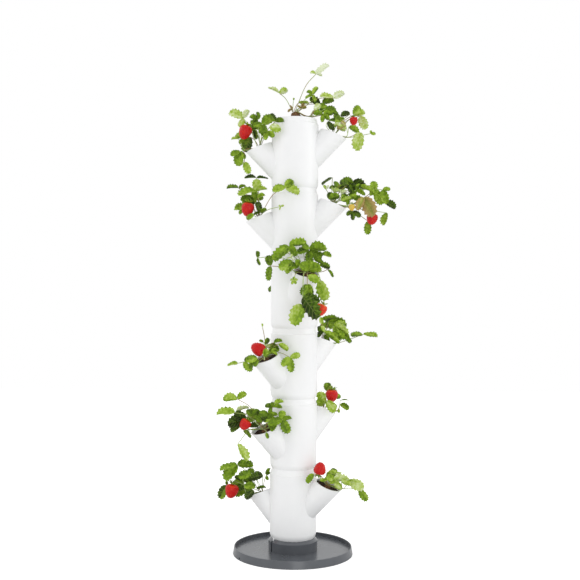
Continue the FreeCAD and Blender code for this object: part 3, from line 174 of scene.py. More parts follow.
# Leaf greens by tone: 0 is an old leaf in shade, 1 a young one lit from behind. Sizes are in millimetres.
leafLook = {
    "stops": [(0.0, "#1F2F05"), (0.15, "#364F08"), (0.35, "#5E7D10"), (0.5, "#7D9E1E"),
              (0.62, "#9BB83A"), (0.75, "#B8CC6C"), (0.88, "#D2DFA6"), (1.0, "#E9F1D2")],
    "blotch": 7, "blotchShift": 0.14,  # patches of a slightly other tone
    "withered": "#B38E62",
    "vein": "#BCC873", "veinEdges": (0.03, 0.11), "ribEdges": (0.012, 0.04),  # shares of the blade's map
    "crepe": 1.6, "relief": 0.25,  # fine wrinkles between the veins
}


# Strawberry leaf: quilted between pale side veins, a soft sheen above, paler and duller below
def leafSkin(name, paler, roughness, veinShare):
    material, tree = newMaterial(name)
    place = addNode(tree, "ShaderNodeTexCoord")
    tone = addNode(tree, "ShaderNodeAttribute", attribute_name="tone").outputs["Fac"]
    dry = addNode(tree, "ShaderNodeAttribute", attribute_name="dry").outputs["Fac"]
    blotch = addNode(tree, "ShaderNodeTexNoise", {"Vector": place.outputs["Object"],
                                                  "Scale": 1 / (leafLook["blotch"] * mm), "Detail": 3.0})
    most = leafLook["blotchShift"]
    shift = addNode(tree, "ShaderNodeMapRange", [blotch, 0.3, 0.7, paler - most, paler + most])
    toned = addNode(tree, "ShaderNodeMath", [tone, shift], operation="ADD", use_clamp=True)
    green = addNode(tree, "ShaderNodeValToRGB", {"Fac": toned})
    setStops(green, leafLook["stops"])
    brown, pale = linearColour(leafLook["withered"]), linearColour(leafLook["vein"])
    withered = addNode(tree, "ShaderNodeMix", {0: dry, 6: green, 7: brown}, data_type="RGBA")
    # the blade's own map: x runs from foot to tip by side veins, y from margin over midrib to margin
    blade = addNode(tree, "ShaderNodeSeparateXYZ", {"Vector": place.outputs["UV"]})
    along = addNode(tree, "ShaderNodeMath", [blade, float(leaflets["veins"])], operation="MULTIPLY")
    part = addNode(tree, "ShaderNodeMath", [along], operation="FRACT")
    lines = []
    for spread, edges in ((part, leafLook["veinEdges"]), (blade.outputs["Y"], leafLook["ribEdges"])):
        off = addNode(tree, "ShaderNodeMath", [spread, 0.5], operation="SUBTRACT")
        off = addNode(tree, "ShaderNodeMath", [off], operation="ABSOLUTE")
        lines.append(addNode(tree, "ShaderNodeMapRange", [off, *edges, 1.0, 0.0]))
    net = addNode(tree, "ShaderNodeMath", lines, operation="MAXIMUM")
    share = addNode(tree, "ShaderNodeMath", [net, veinShare], operation="MULTIPLY")
    colour = addNode(tree, "ShaderNodeMix", {0: share, 6: withered.outputs[2], 7: pale}, data_type="RGBA")
    crepe = addNode(tree, "ShaderNodeTexNoise", {"Vector": place.outputs["Object"],
                                                 "Scale": 1 / (leafLook["crepe"] * mm), "Detail": 2.0})
    height = addNode(tree, "ShaderNodeMath", [crepe, net], operation="SUBTRACT")
    bump = addNode(tree, "ShaderNodeBump",
                   {"Height": height, "Strength": 0.5, "Distance": leafLook["relief"] * mm})
    shader = addNode(tree, "ShaderNodeBsdfPrincipled",
                     {"Base Color": colour.outputs[2], "Roughness": roughness, "IOR": 1.42, "Normal": bump,
                      "Specular IOR Level": 0.22})
    return closeMaterial(material, shader)


# Stalks by how red they are, from green to flushed; streaks are in millimetres
stalkLook = {
    "stops": [(0.0, "#C9D7A0"), (0.35, "#93AE57"), (0.7, "#9A7A4A"), (1.0, "#8E4B38")],
    "streak": 5, "streakShift": 0.15, "roughness": 0.5,
}


# Fresh plant skin with a soft sheen, flushed red where the blush attribute says so
def stalkSkin():
    material, tree = newMaterial("strawberryStalkFresh")
    place = addNode(tree, "ShaderNodeTexCoord").outputs["Object"]
    blush = addNode(tree, "ShaderNodeAttribute", attribute_name="blush").outputs["Fac"]
    streak = addNode(tree, "ShaderNodeTexNoise",
                     {"Vector": place, "Scale": 1 / (stalkLook["streak"] * mm), "Detail": 3.0})
    most = stalkLook["streakShift"]
    flush = addNode(tree, "ShaderNodeMapRange", [streak, 0.35, 0.65, -most, most])
    mixed = addNode(tree, "ShaderNodeMath", [blush, flush], operation="ADD", use_clamp=True)
    colour = addNode(tree, "ShaderNodeValToRGB", {"Fac": mixed})
    setStops(colour, stalkLook["stops"])
    shader = addNode(tree, "ShaderNodeBsdfPrincipled",
                     {"Base Color": colour, "Roughness": stalkLook["roughness"], "IOR": 1.42})
    return closeMaterial(material, shader)


# Berries by how unripe they are, from red over orange to yellow; patches are in millimetres
berryLook = {
    "stops": [(0.0, "#BE0A0A"), (0.3, "#DC3A14"), (0.6, "#E29A30"), (1.0, "#D8BE55")],
    "shoulder": (0.16, 0.3),  # how far down the fruit is paler, as a share of its length, and by how much
    "patch": 9, "patchShift": 0.08,
    "roughness": 0.34, "coat": (0.1, 0.08),  # the gloss over it: how much, and how rough
}


# Ripe strawberry: thin glossy skin, paler at the shoulder
def berrySkin():
    material, tree = newMaterial("strawberrySkinGlossy")
    place = addNode(tree, "ShaderNodeTexCoord").outputs["Object"]
    unripe = addNode(tree, "ShaderNodeAttribute", attribute_name="unripe").outputs["Fac"]
    tipward = addNode(tree, "ShaderNodeAttribute", attribute_name="tipward").outputs["Fac"]
    shoulder = addNode(tree, "ShaderNodeMapRange", [tipward, 0.0, *berryLook["shoulder"], 0.0])
    patch = addNode(tree, "ShaderNodeTexNoise",
                    {"Vector": place, "Scale": 1 / (berryLook["patch"] * mm), "Detail": 2.0})
    most = berryLook["patchShift"]
    patchy = addNode(tree, "ShaderNodeMapRange", [patch, 0.35, 0.65, -most, most])
    paler = addNode(tree, "ShaderNodeMath", [unripe, shoulder], operation="ADD")
    mixed = addNode(tree, "ShaderNodeMath", [paler, patchy], operation="ADD", use_clamp=True)
    colour = addNode(tree, "ShaderNodeValToRGB", {"Fac": mixed})
    setStops(colour, berryLook["stops"])
    coat, coatRoughness = berryLook["coat"]
    shader = addNode(tree, "ShaderNodeBsdfPrincipled",
                     {"Base Color": colour, "Roughness": berryLook["roughness"], "IOR": 1.38,
                      "Specular IOR Level": 0.35, "Coat Weight": coat, "Coat Roughness": coatRoughness})
    return closeMaterial(material, shader)


# A tree with a mesh going in and out, and its other inputs by name: {name: socket kind}
def newTree(name, sizes):
    tree = bpy.data.node_groups.new(name, "GeometryNodeTree")
    for label, kind in {"Geometry": "Geometry", **sizes}.items():
        tree.interface.new_socket(label, in_out="INPUT", socket_type="NodeSocket" + kind)
    tree.interface.new_socket("Geometry", in_out="OUTPUT", socket_type="NodeSocketGeometry")
    return tree, tree.nodes.new("NodeGroupInput").outputs


# What was made in a tree as real mesh, in its finish
def inFinish(tree, made, finish):
    real = addNode(tree, "GeometryNodeRealizeInstances", {"Geometry": made})
    return addNode(tree, "GeometryNodeSetMaterial", {"Geometry": real, "Material": finish})


# Runs a tree on an object and leaves the result as its plain mesh
def growWith(piece, tree, given):
    modifier = piece.modifiers.new(tree.name, "NODES")
    modifier.node_group = tree
    for item in tree.interface.items_tree:
        if item.in_out == "INPUT" and item.name in given:
            modifier[item.identifier] = given[item.name]
    plainMesh(piece)


def plainMesh(piece):
    graph = bpy.context.evaluated_depsgraph_get()
    grown = bpy.data.meshes.new_from_object(piece.evaluated_get(graph))
    piece.modifiers.clear()
    piece.data = grown


# Edge paths become round stalks: girth thins them towards their ends
def stalkTree():
    tree, given = newTree("stalksAlongPaths",
                          {"stalkRadius": "Float", "ringCorners": "Int", "stalkFinish": "Material"})
    path = addNode(tree, "GeometryNodeMeshToCurve", {"Mesh": given["Geometry"]})
    girth = addNode(tree, "GeometryNodeInputNamedAttribute", {"Name": "girth"}, data_type="FLOAT")
    sized = addNode(tree, "GeometryNodeSetCurveRadius", {"Curve": path, "Radius": girth.outputs["Attribute"]})
    ring = addNode(tree, "GeometryNodeCurvePrimitiveCircle",
                   {"Resolution": given["ringCorners"], "Radius": given["stalkRadius"]})
    tube = addNode(tree, "GeometryNodeCurveToMesh",
                   {"Curve": sized, "Profile Curve": ring, "Fill Caps": True})
    addNode(tree, "NodeGroupOutput", {"Geometry": inFinish(tree, tube, given["stalkFinish"])})
    return tree


# A smooth fruit body gets seeds on its skin, each in its own pit
def seededFruitTree():
    tree, given = newTree("seedsInPits", {
        "seedSpacing": "Float", "pitRadius": "Float", "pitDepth": "Float", "seedSize": "Vector",
        "pattern": "Int", "skinFinish": "Material", "seedFinish": "Material"})
    spots = addNode(tree, "GeometryNodeDistributePointsOnFaces",
                    {"Mesh": given["Geometry"], "Distance Min": given["seedSpacing"], "Density Max": 4e6,
                     "Seed": given["pattern"]}, distribute_method="POISSON")
    near = addNode(tree, "GeometryNodeProximity", [spots], target_element="POINTS").outputs["Distance"]
    depth = addNode(tree, "ShaderNodeMapRange", [near, 0.0, given["pitRadius"], given["pitDepth"], 0.0],
                    interpolation_type="SMOOTHSTEP")
    outward = addNode(tree, "GeometryNodeInputNormal").outputs["Normal"]
    sink = addNode(tree, "ShaderNodeVectorMath", {0: outward, "Scale": depth}, operation="SCALE")
    inward = addNode(tree, "ShaderNodeVectorMath", [sink, (-1.0, -1.0, -1.0)], operation="MULTIPLY")
    pitted = addNode(tree, "GeometryNodeSetPosition", {"Geometry": given["Geometry"], "Offset": inward})
    husk = addNode(tree, "GeometryNodeMeshIcoSphere", [1.0, 1])
    seeds = addNode(tree, "GeometryNodeInstanceOnPoints",
                    {"Points": spots, "Instance": husk, "Rotation": spots.outputs["Rotation"],
                     "Scale": given["seedSize"]})
    both = addNode(tree, "GeometryNodeJoinGeometry")
    for made, finish in ((seeds, "seedFinish"), (pitted, "skinFinish")):
        tree.links.new(inFinish(tree, made, given[finish]).outputs["Geometry"], both.inputs["Geometry"])
    addNode(tree, "NodeGroupOutput", {"Geometry": both})
    return tree


# Crumbs on the soil in millimetres, and the spread of their sizes
crumbs = {
    "spacing": 3.0, "radius": 1.9,
    "margin": 2.6, "rimCorners": 32,  # edge of the strewn disc, inside the wall
    "shapes": 3, "dent": 0.6,  # uneven shapes, and how uneven
    "smallest": (0.5, 0.5, 0.4), "largest": (1.5, 1.3, 0.9),
}


# Loose crumbs over the soil's surface, in a few uneven shapes
def crumbTree():
    tree, given = newTree("crumbsOnSoil", {
        "crumbSpacing": "Float", "crumbRadius": "Float", "pattern": "Int", "soilFinish": "Material"})
    spots = addNode(tree, "GeometryNodeDistributePointsOnFaces",
                    {"Mesh": given["Geometry"], "Distance Min": given["crumbSpacing"], "Density Max": 4e6,
                     "Seed": given["pattern"]}, distribute_method="POISSON")
    shapes = addNode(tree, "GeometryNodeJoinGeometry")
    dent = crumbs["dent"] * mm
    for number in range(crumbs["shapes"]):
        ball = addNode(tree, "GeometryNodeMeshIcoSphere", [given["crumbRadius"], 1])
        scatter = addNode(tree, "FunctionNodeRandomValue",
                          {0: [-dent] * 3, 1: [dent] * 3, "Seed": number + 3}, data_type="FLOAT_VECTOR")
        rough = addNode(tree, "GeometryNodeSetPosition", {"Geometry": ball, "Offset": scatter})
        kept = addNode(tree, "GeometryNodeGeometryToInstance", {"Geometry": rough})
        tree.links.new(kept.outputs["Instances"], shapes.inputs["Geometry"])
    turn = addNode(tree, "FunctionNodeRandomValue", {1: [6.28] * 3, "Seed": 11}, data_type="FLOAT_VECTOR")
    size = addNode(tree, "FunctionNodeRandomValue", {0: crumbs["smallest"], 1: crumbs["largest"], "Seed": 12},
                   data_type="FLOAT_VECTOR")
    strewn = addNode(tree, "GeometryNodeInstanceOnPoints", {
        "Points": spots, "Instance": shapes, "Pick Instance": True, "Rotation": turn, "Scale": size})
    addNode(tree, "NodeGroupOutput", {"Geometry": inFinish(tree, strewn, given["soilFinish"])})
    return tree


# The eye that the plants were laid out for, in millimetres and degrees
eye = {"distance": 2500.0, "height": 682.5, "aside": -11.2, "roll": -0.33, "lens": 59.7}


# Middle of a pocket's mouth, the way up out of it, the middle of the soil there, and the tube's own way
def mouthOf(number, pocket):
    side, reach, height = tower["pockets"][pocket]
    heading = math.radians(tower["turns"][number - 1])
    out = Vector((math.cos(heading), math.sin(heading), 0)) * side
    foot = tower["seatHeight"] + (number - 1) * tower["pitch"]
    centre = out * reach + Vector((0, 0, foot + height))
    tilt = math.radians(tower["mouthTilt"])
    lean = math.radians(tower["pocketLean"])
    up = out * math.sin(tilt) + Vector((0, 0, math.cos(tilt)))
    tube = out * math.sin(lean) + Vector((0, 0, math.cos(lean)))
    return centre, up, centre - up * tower["soilDrop"], tube


# Where a plant grows: the mouth's middle, the way up, the soil under it, and its crown's radius and height
def seatOf(name):
    if name == "plant_top":
        return topRim, upright, topRim - upright * tower["soilDrop"], tower["topCrown"]
    number, pocket = name.split("_")[1:]
    return (*mouthOf(int(number), pocket)[:3], tower["crown"])


# The real place of a spot that looks that far right of and above the mouth's middle
def seenPlace(centre, right, behind, above):
    scaleHere = 1 + centre.y / eye["distance"]
    seenX = centre.x / scaleHere + right
    seenZ = (centre.z - eye["height"]) / scaleHere + above
    y = centre.y + behind
    scaleThere = 1 + y / eye["distance"]
    return Vector((seenX * scaleThere, y, eye["height"] + seenZ * scaleThere))


def direction(degrees, lean):
    turned, leaned = math.radians(degrees), math.radians(lean)
    flat = math.cos(leaned)
    return Vector((math.cos(turned) * flat, -math.sin(leaned), math.sin(turned) * flat))


# Leaf and fruit stalks, in millimetres where nothing else is said
stalks = {
    "radius": 0.85, "corners": 7,
    "full": 1.15, "thin": 0.65, "fruitEnd": 0.9,  # girth at foot, leaf and fruit: shares of the radius
    "leafBlush": (0.1, 0.75), "fruitBlush": 0.2,  # how red
    # a stalk that hangs out passes this far outside the mouth, and this share of half its width above it
    "rimGap": 4, "rimLift": 0.2,
    "bend": 5,  # where a fruit's stalk turns down, this far above it
    "arch": 0.15,  # how far a stalk's middle is lifted, as a share of its length
    "sink": 1.5, "spread": 0.52,  # the feet: how far under the crown's top, and share of the crown's radius
}


# A point just over the rim, for what hangs outside its pocket
def overRim(centre, up, finish):
    flat = Vector((finish.x - centre.x, finish.y - centre.y, 0)).normalized()
    flat *= tower["mouthHalf"] + stalks["rimGap"]
    lift = tower["mouthHalf"] * stalks["rimLift"] - flat.dot(up) / up.z
    return centre + flat + Vector((0, 0, lift))


def hangs(centre, finish, height):
    away = math.hypot(finish.x - centre.x, finish.y - centre.y)
    return away > tower["mouthHalf"] and finish.z < centre.z + height


def leafPath(centre, up, foot, joint):
    if hangs(centre, joint, tower["mouthHalf"]):
        return [foot, overRim(centre, up, joint), joint]
    return [foot, (foot + joint) * 0.5 + Vector((0, 0, (joint - foot).length * stalks["arch"])), joint]


def berryPath(centre, up, foot, cap, way, radius):
    arch = cap - way * stalks["bend"] + Vector((0, radius, 0))
    if hangs(centre, cap, 0):
        return [foot, overRim(centre, up, cap), arch, cap]
    return [foot, arch, cap]


# Stalks leave the crown evenly round it, in the order in which their ends lie round it
def stalkFeet(up, soil, crown, ends):
    out = Vector((up.x, up.y, 0)) if up.z < 0.999 else Vector((1, 0, 0))
    forward = (out - up * out.dot(up)).normalized()
    side = up.cross(forward)
    headings = [math.atan2((end - soil).dot(side), (end - soil).dot(forward)) for end in ends]
    order = sorted(range(len(ends)), key=lambda index: headings[index])
    feet = [None] * len(ends)
    for rank, index in enumerate(order):
        heading = math.pi * (2 * (rank + 0.5) / len(ends) - 1)
        aside = forward * math.cos(heading) + side * math.sin(heading)
        feet[index] = soil + up * (crown[1] - stalks["sink"]) + aside * (crown[0] * stalks["spread"])
    return feet


# A smooth line through the points, with a few steps between each two
def smoothLine(points, steps=7):
    padded = [points[0] * 2 - points[1]] + points + [points[-1] * 2 - points[-2]]
    line = []
    for before, start, finish, after in zip(padded, padded[1:], padded[2:], padded[3:]):
        for step in range(steps):
            t = step / steps
            bend = (before * 2 - start * 5 + finish * 4 - after) * t ** 2
            swing = (start * 3 - before - finish * 3 + after) * t ** 3
            line.append(((start * 2) + (finish - before) * t + bend + swing) * 0.5)
    return line + [points[-1]]


# Leaves: where each one's leaflets meet, as (right, behind, above) the mouth's middle in millimetres, the
# lean towards the eye, the tone, and its leaflets as (direction, length, twist). A tone from 2 up is that of
# a withered leaf, counted from 2. Berries: (right, behind, above, length, radius, direction of the tip, how
# unripe).
plants = {
    "plant_1_low": {"leaves": [
        (-63, -5, 70, 10, 0.38, [(228, 46, 24), (4, 42, 26), (194, 46, 60)]),
        (-26, -12, 48, 10, 0.5, [(192, 34, 30)]),
        (4, -14, 43, 5, 0.12, [(188, 32, 35)]),
        (13, -14, 43, 5, 0.3, [(62, 22, 40), (25, 16, 40), (290, 12, 30)]),
        (-15, -16, 11, 10, 0.45, [(155, 32, 20)]),
        (-89, 14, 16, 5, 0.35, [(238, 34, 25), (100, 12, 30)]),
        (-34, 3, 8, 0, 0.18, [(192, 36, 15)]),
        (-20, -34, 4, 15, 0.15, [(222, 28, 15)]),
        (-12, -22, 6, 5, 0.2, [(22, 26, 60)]),
        (-22, 26, 38, -20, 0.35, [(110, 30, 20), (40, 24, 30), (180, 24, 30)]),
        (-44, 22, 20, -10, 0.4, [(160, 30, 30), (220, 24, 30)]),
        (-48, -8, 30, 5, 0.2, [(150, 24, 35), (350, 26, 35)]),
        (-66, 10, 6, 0, 0.3, [(20, 26, 35), (62, 20, 35)]),
        (-44, -14, 14, 8, 0.3, [(20, 22, 35), (330, 24, 35)]),
    ], "berries": [(-74, -20, 17, 35, 17, 258, 0)]},
    "plant_1_high": {"leaves": [
        (-38, -42, 28, 0, 0.4, [(222, 24, 20)]),
        (-6, -8, 26, 5, 0.6, [(8, 36, 50)]),
        (13, -14, 13, 15, 0.68, [(10, 40, 30), (330, 26, 25), (140, 24, 25)]),
        (-9, -20, 10, 12, 0.55, [(60, 20, 20), (150, 14, 25)]),
        (52, -12, 10, 10, 0.66, [(347, 40, 15)]),
        (80, -12, -10, 5, 0.6, [(314, 30, 20)]),
        (8, 22, 18, -20, 0.45, [(70, 28, 20), (10, 24, 30)]),
        (22, -12, 18, 10, 0.62, [(60, 20, 35), (345, 26, 30), (205, 20, 30)]),
        (34, -20, 8, 10, 0.66, [(30, 24, 35), (350, 24, 35)]),
    ], "berries": [(-25, -18, 28, 30, 15, 78, 0)]},
    "plant_2_low": {"leaves": [
        (-70, 5, 76, 0, 0.55, [(178, 36, 50), (42, 28, 30)]),
        (-76, -8, 41, 0, 0.62, [(180, 46, 55)]),
        (-73, 8, 43, 0, 0.72, [(28, 36, 60)]),
        (-49, 8, 22, 0, 0.15, [(185, 44, 15), (140, 34, 15)]),
        (-24, 5, 22, 0, 0.55, [(112, 34, 15), (58, 32, 20), (168, 24, 25), (5, 26, 25)]),
        (21, -14, 56, 5, 0.35, [(155, 20, 40), (95, 16, 30), (355, 18, 50)]),
        (26, -16, 62, 5, 0.42, [(28, 26, 40), (345, 20, 45)]),
        (47, -24, 24, 5, 0.42, [(95, 26, 15), (298, 34, 15), (20, 24, 25), (195, 34, 20)]),
        (11, -20, 20, 10, 0.2, [(60, 20, 30), (150, 20, 30)]),
        (-54, 8, -5, 5, 0.25, [(320, 24, 40)]),
        (5, -40, -10, 5, 0.35, [(290, 14, 10)]),
        (-69, 8, -41, 0, 0.5, [(303, 44, 42)]),
        (-30, -12, 32, 5, 0.4, [(60, 26, 30), (130, 24, 30), (340, 24, 30)]),
        (-10, 6, 12, 0, 0.2, [(95, 22, 30), (190, 26, 35)]),
        (-62, 10, 8, 0, 0.2, [(200, 26, 30), (120, 24, 30)]),
        (12, -18, 34, 5, 0.32, [(160, 26, 30), (80, 22, 35), (20, 22, 40)]),
        (24, -20, 30, 8, 0.45, [(200, 26, 35), (252, 24, 35)]),
        (34, -28, 14, 5, 0.45, [(170, 24, 35), (225, 22, 35)]),
    ], "berries": [(-43, -17, 21, 27, 13.5, 235, 0)]},
    "plant_2_high": {"leaves": [
        (10, 3, 47, 0, 0.5, [(92, 28, 15), (55, 20, 30)]),
        (2, -18, 23, 10, 0.5, [(122, 32, 10), (195, 22, 20)]),
        (8, -41, 20, 10, 0.6, [(318, 30, 10), (345, 28, 20)]),
        (44, -6, 23, 0, 0.4, [(8, 22, 65)]),
        (40, -14, 2, 0, 0.5, [(270, 10, 20)]),
        (22, 24, 30, -20, 0.4, [(80, 28, 20), (10, 26, 30), (150, 22, 30)]),
        (44, 20, 14, -10, 0.4, [(330, 26, 30)]),
        (4, 8, 12, 0, 0.6, [(112, 26, 25), (165, 24, 25)]),
        (2, -18, 16, 8, 0.6, [(150, 22, 25), (100, 18, 30)]),
    ], "berries": [(22, -19, 49, 31, 15.5, 268, 0)]},
    "plant_3_low": {"leaves": [
        (0, -10, 35, 5, 0.4, [(75, 18, 30)]),
        (-5, 5, 40, 0, 0.35, [(150, 12, 30)]),
        (21, -16, 39, 0, 0.45, [(15, 22, 50)]),
        (34, -22, 35, 5, 0.5, [(335, 26, 35)]),
        (14, -12, 37, 5, 0.2, [(325, 24, 25)]),
        (9, -14, 12, 5, 0.5, [(60, 18, 30), (20, 18, 30)]),
        (-21, -36, -2, 10, 0.45, [(185, 28, 20), (250, 20, 25)]),
        (-58, -14, -13, 5, 0.42, [(325, 28, 25)]),
        (-71, -12, -15, 0, 0.55, [(182, 26, 60)]),
        (64, -28, 1, 0, 0.5, [(218, 26, 15), (22, 26, 15), (276, 30, 15)]),
        (-3, -39, 3, 5, 0.5, [(80, 22, 20), (50, 18, 20)]),
        (-8, 0, 79, 0, 0.75, [(100, 10, 60)]),
        (4, -8, 26, 5, 0.7, [(110, 16, 40), (50, 14, 40), (10, 14, 40)]),
        (14, -22, 14, 5, 0.3, [(40, 18, 40), (345, 16, 40)]),
        (-30, -30, -6, 8, 0.35, [(170, 24, 35), (240, 20, 30)]),
    ], "berries": [(-5, -19, 15, 34, 16, 152, 0)]},
    "plant_3_high": {"leaves": [
        (-2, -5, 55, 5, 0.15, [(18, 40, 50)]),
        (14, 8, 49, 0, 0.3, [(2, 48, 55)]),
        (-4, -12, 44, 5, 0.6, [(100, 20, 20)]),
        (28, -10, 40, 10, 0.6, [(342, 40, 35), (20, 34, 40), (300, 26, 30)]),
        (2, -14, 32, 5, 0.12, [(228, 22, 25), (180, 16, 20)]),
        (4, -18, 17, 5, 0.15, [(305, 20, 25)]),
        (28, -16, 22, 10, 0.35, [(345, 30, 30)]),
        (56, -10, 14, 5, 0.3, [(325, 22, 20)]),
        (104, -6, 18, 0, 0.42, [(180, 32, 64), (3, 38, 66)]),
        (14, 26, 36, -20, 0.35, [(90, 26, 20), (20, 28, 30), (160, 24, 30)]),
        (42, 22, 18, -10, 0.4, [(350, 28, 30), (50, 24, 30)]),
        (4, -24, 24, 10, 0.5, [(122, 20, 35), (340, 26, 30)]),
        (18, -16, 10, 10, 0.55, [(30, 24, 35), (340, 26, 40)]),
        (-8, -8, 22, 0, 0.2, [(100, 20, 30), (245, 16, 30)]),
        (42, -4, 24, 5, 0.5, [(200, 24, 30), (275, 18, 35)]),
    ], "berries": []},
    "plant_4_low": {"leaves": [
        (0, 14, 44, -20, 0.4, [(95, 28, 20), (20, 26, 30), (165, 26, 30)]),
        (30, 20, 26, -10, 0.45, [(30, 28, 30), (330, 22, 30)]),
        (-14, 30, 24, -10, 0.35, [(150, 26, 30), (90, 22, 30)]),
        (-22, 42, 2, -10, 0.4, [(270, 26, 20), (210, 22, 30)]),
        (34, 4, 10, 0, 0.5, [(10, 24, 40)]),
    ], "berries": [(24, 40, 2, 28, 13, 268, 0)]},
    "plant_4_high": {"leaves": [
        (-45, -12, 68, 10, 0.42, [(222, 50, 35), (12, 44, 60), (320, 26, 15)]),
        (-12, -15, 74, 5, 0.35, [(330, 20, 15)]),
        (-127, 15, 37, 0, 0.38, [(95, 18, 40), (295, 16, 40)]),
        (-94, 0, 16, 5, 0.28, [(100, 28, 20), (263, 30, 25)]),
        (8, -10, 56, 15, 0.4, [(18, 44, 40), (338, 34, 20), (180, 32, 45), (268, 30, 15)]),
        (-34, -18, 27, 10, 0.5, [(205, 38, 30), (238, 30, 20)]),
        (4, -16, 4, 25, 0.45, [(122, 34, 10), (60, 34, 10), (20, 36, 25)]),
        (34, -6, 20, 5, 0.3, [(355, 26, 25)]),
        (56, -4, 8, 0, 0.35, [(312, 20, 65)]),
        (40, -4, 48, 0, 0.6, [(348, 24, 40)]),
        (4, -42, -10, 10, 0.55, [(342, 30, 10)]),
        (-32, -36, -21, 0, 0.6, [(90, 9, 0), (18, 9, 0), (162, 9, 0), (234, 9, 0), (306, 9, 0)]),
        (3, -46, -31, 5, 0.45, [(243, 28, 30), (285, 26, 20), (310, 22, 30)]),
        (-9, -50, -65, 5, 0.18, [(350, 42, 26), (312, 56, -8)]),
        (-10, -50, -83, 5, 0.55, [(243, 46, 10)]),
        (36, -38, -21, 5, 0.68, [(288, 48, 35)]),
        (-40, -20, 38, 5, 0.92, [(80, 10, 40), (200, 10, 40), (320, 10, 40)]),
        (-48, -16, 50, 5, 0.85, [(90, 9, 30), (185, 9, 30)]),
        (20, -14, 34, 12, 0.3, [(40, 30, 25), (345, 24, 35)]),
        (-20, -24, 14, 15, 0.35, [(170, 26, 30), (110, 22, 35)]),
    ], "berries": [(44, -30, -84, 30, 14, 245, 0.25)]},
    "plant_5_low": {"leaves": [
        (-7, 5, 102, 0, 0.15, [(178, 30, 65), (0, 30, 70)]),
        (-5, -8, 68, 15, 0.62, [(92, 32, 10), (190, 50, 60), (20, 28, 55)]),
        (-53, -5, 75, 0, 0.25, [(175, 30, 60), (28, 20, 50)]),
        (-3, -18, 49, 10, 0.55, [(32, 22, 60)]),
        (-10, 6, 35, 0, 0.5, [(125, 26, 30), (170, 34, 25)]),
        (4, -22, 15, 10, 0.18, [(108, 28, 30)]),
        (-14, -38, 9, 20, 0.55, [(225, 22, 15)]),
        (68, -76, 77, 5, 0.5, [(182, 32, 20), (55, 30, 15), (345, 36, 35)]),
        (57, -74, 28, 0, 0.7, [(250, 8, 30), (20, 8, 30), (150, 6, 30)]),
        (-8, 28, 46, -20, 0.4, [(100, 28, 20), (30, 22, 30), (165, 22, 30)]),
        (-34, 26, 24, -10, 0.4, [(170, 30, 30), (220, 22, 30)]),
        (-20, -2, 54, 5, 0.25, [(200, 28, 35), (282, 22, 30)]),
        (2, -18, 12, 8, 0.3, [(30, 20, 40), (112, 18, 40), (200, 16, 40)]),
    ], "berries": [(-27, -19, 36, 34, 16, 262, 0)]},
    "plant_5_high": {"leaves": [
        (-2, 5, 68, 0, 0.18, [(207, 30, 70)]),
        (22, -10, 55, 10, 0.35, [(18, 30, 30)]),
        (50, 5, 57, 5, 0.2, [(340, 34, 50)]),
        (30, -5, 45, 5, 0.15, [(350, 34, 40), (200, 14, 40)]),
        (103, 0, 31, 5, 0.55, [(85, 30, 15)]),
        (70, -8, 46, 5, 0.5, [(335, 38, 65)]),
        (107, -6, 27, 5, 0.5, [(312, 30, 20)]),
        (128, -8, 37, 5, 0.42, [(10, 20, 30), (290, 34, 20)]),
        (136, -6, 5, 5, 0.15, [(335, 28, 30)]),
        (80, -25, 17, 12, 2.5, [(300, 50, 12), (240, 34, 30)]),
        (91, 7, -45, 0, 0.45, [(268, 28, 15)]),
        (140, -10, -23, 5, 0.5, [(255, 30, 35)]),
        (52, -14, -19, 0, 0.18, [(205, 18, 15), (330, 22, 20), (270, 20, 20)]),
        (-12, -28, 12, 15, 0.2, [(70, 20, 30), (25, 30, 40)]),
        (22, -20, 7, 5, 0.5, [(75, 20, 40), (20, 26, 45)]),
        (10, 28, 38, -20, 0.4, [(95, 28, 20), (20, 26, 30), (160, 22, 30)]),
        (50, 26, 18, -10, 0.4, [(340, 30, 30)]),
        (-18, -14, 36, 5, 0.75, [(60, 14, 50), (122, 14, 50)]),
        (2, -18, 30, 5, 0.8, [(72, 16, 50), (112, 14, 50), (20, 16, 50)]),
        (22, -16, 24, 5, 0.85, [(45, 18, 50), (102, 14, 50)]),
        (40, -20, 50, 10, 0.28, [(160, 24, 30), (300, 20, 30)]),
        (120, -4, 34, 5, 0.5, [(200, 26, 30), (255, 26, 30)]),
        (60, -10, 36, 8, 0.35, [(230, 26, 30), (340, 24, 35), (62, 20, 35)]),
        (40, -16, 14, 8, 0.4, [(150, 22, 35), (20, 24, 40), (262, 16, 30)]),
    ], "berries": [(103, -17, -26, 28, 14, 262, 0), (49, -30, -2, 16, 7.5, 265, 0.95)]},
    "plant_6_low": {"leaves": [
        (-41, -5, 76, 10, 0.8, [(150, 42, 35), (60, 28, 40), (250, 24, 30)]),
        (8, -26, 60, 20, 0.35, [(40, 36, 30), (178, 24, 25), (300, 20, 20)]),
        (26, -50, 52, 25, 0.65, [(0, 32, 15)]),
        (-24, 5, 28, 0, 0.18, [(250, 38, 8)]),
        (-49, -10, -10, 15, 0.35, [(262, 34, 12), (200, 26, 38), (310, 20, -22)]),
        (-38, -12, -38, 10, 0.62, [(300, 28, 20), (210, 16, 40)]),
        (-54, -16, 22, 0, 0.6, [(178, 18, 60)]),
        (-8, 28, 48, -20, 0.45, [(110, 30, 20), (40, 22, 30), (170, 24, 30)]),
        (-34, 26, 26, -10, 0.45, [(165, 30, 30), (215, 22, 30)]),
        (-4, -22, 72, 10, 0.3, [(150, 24, 30), (95, 22, 35), (230, 20, 30)]),
        (22, -46, 42, 12, 0.45, [(170, 24, 30), (255, 22, 30), (330, 20, 30)]),
        (42, -56, 68, 12, 0.2, [(122, 26, 35), (20, 22, 40)]),
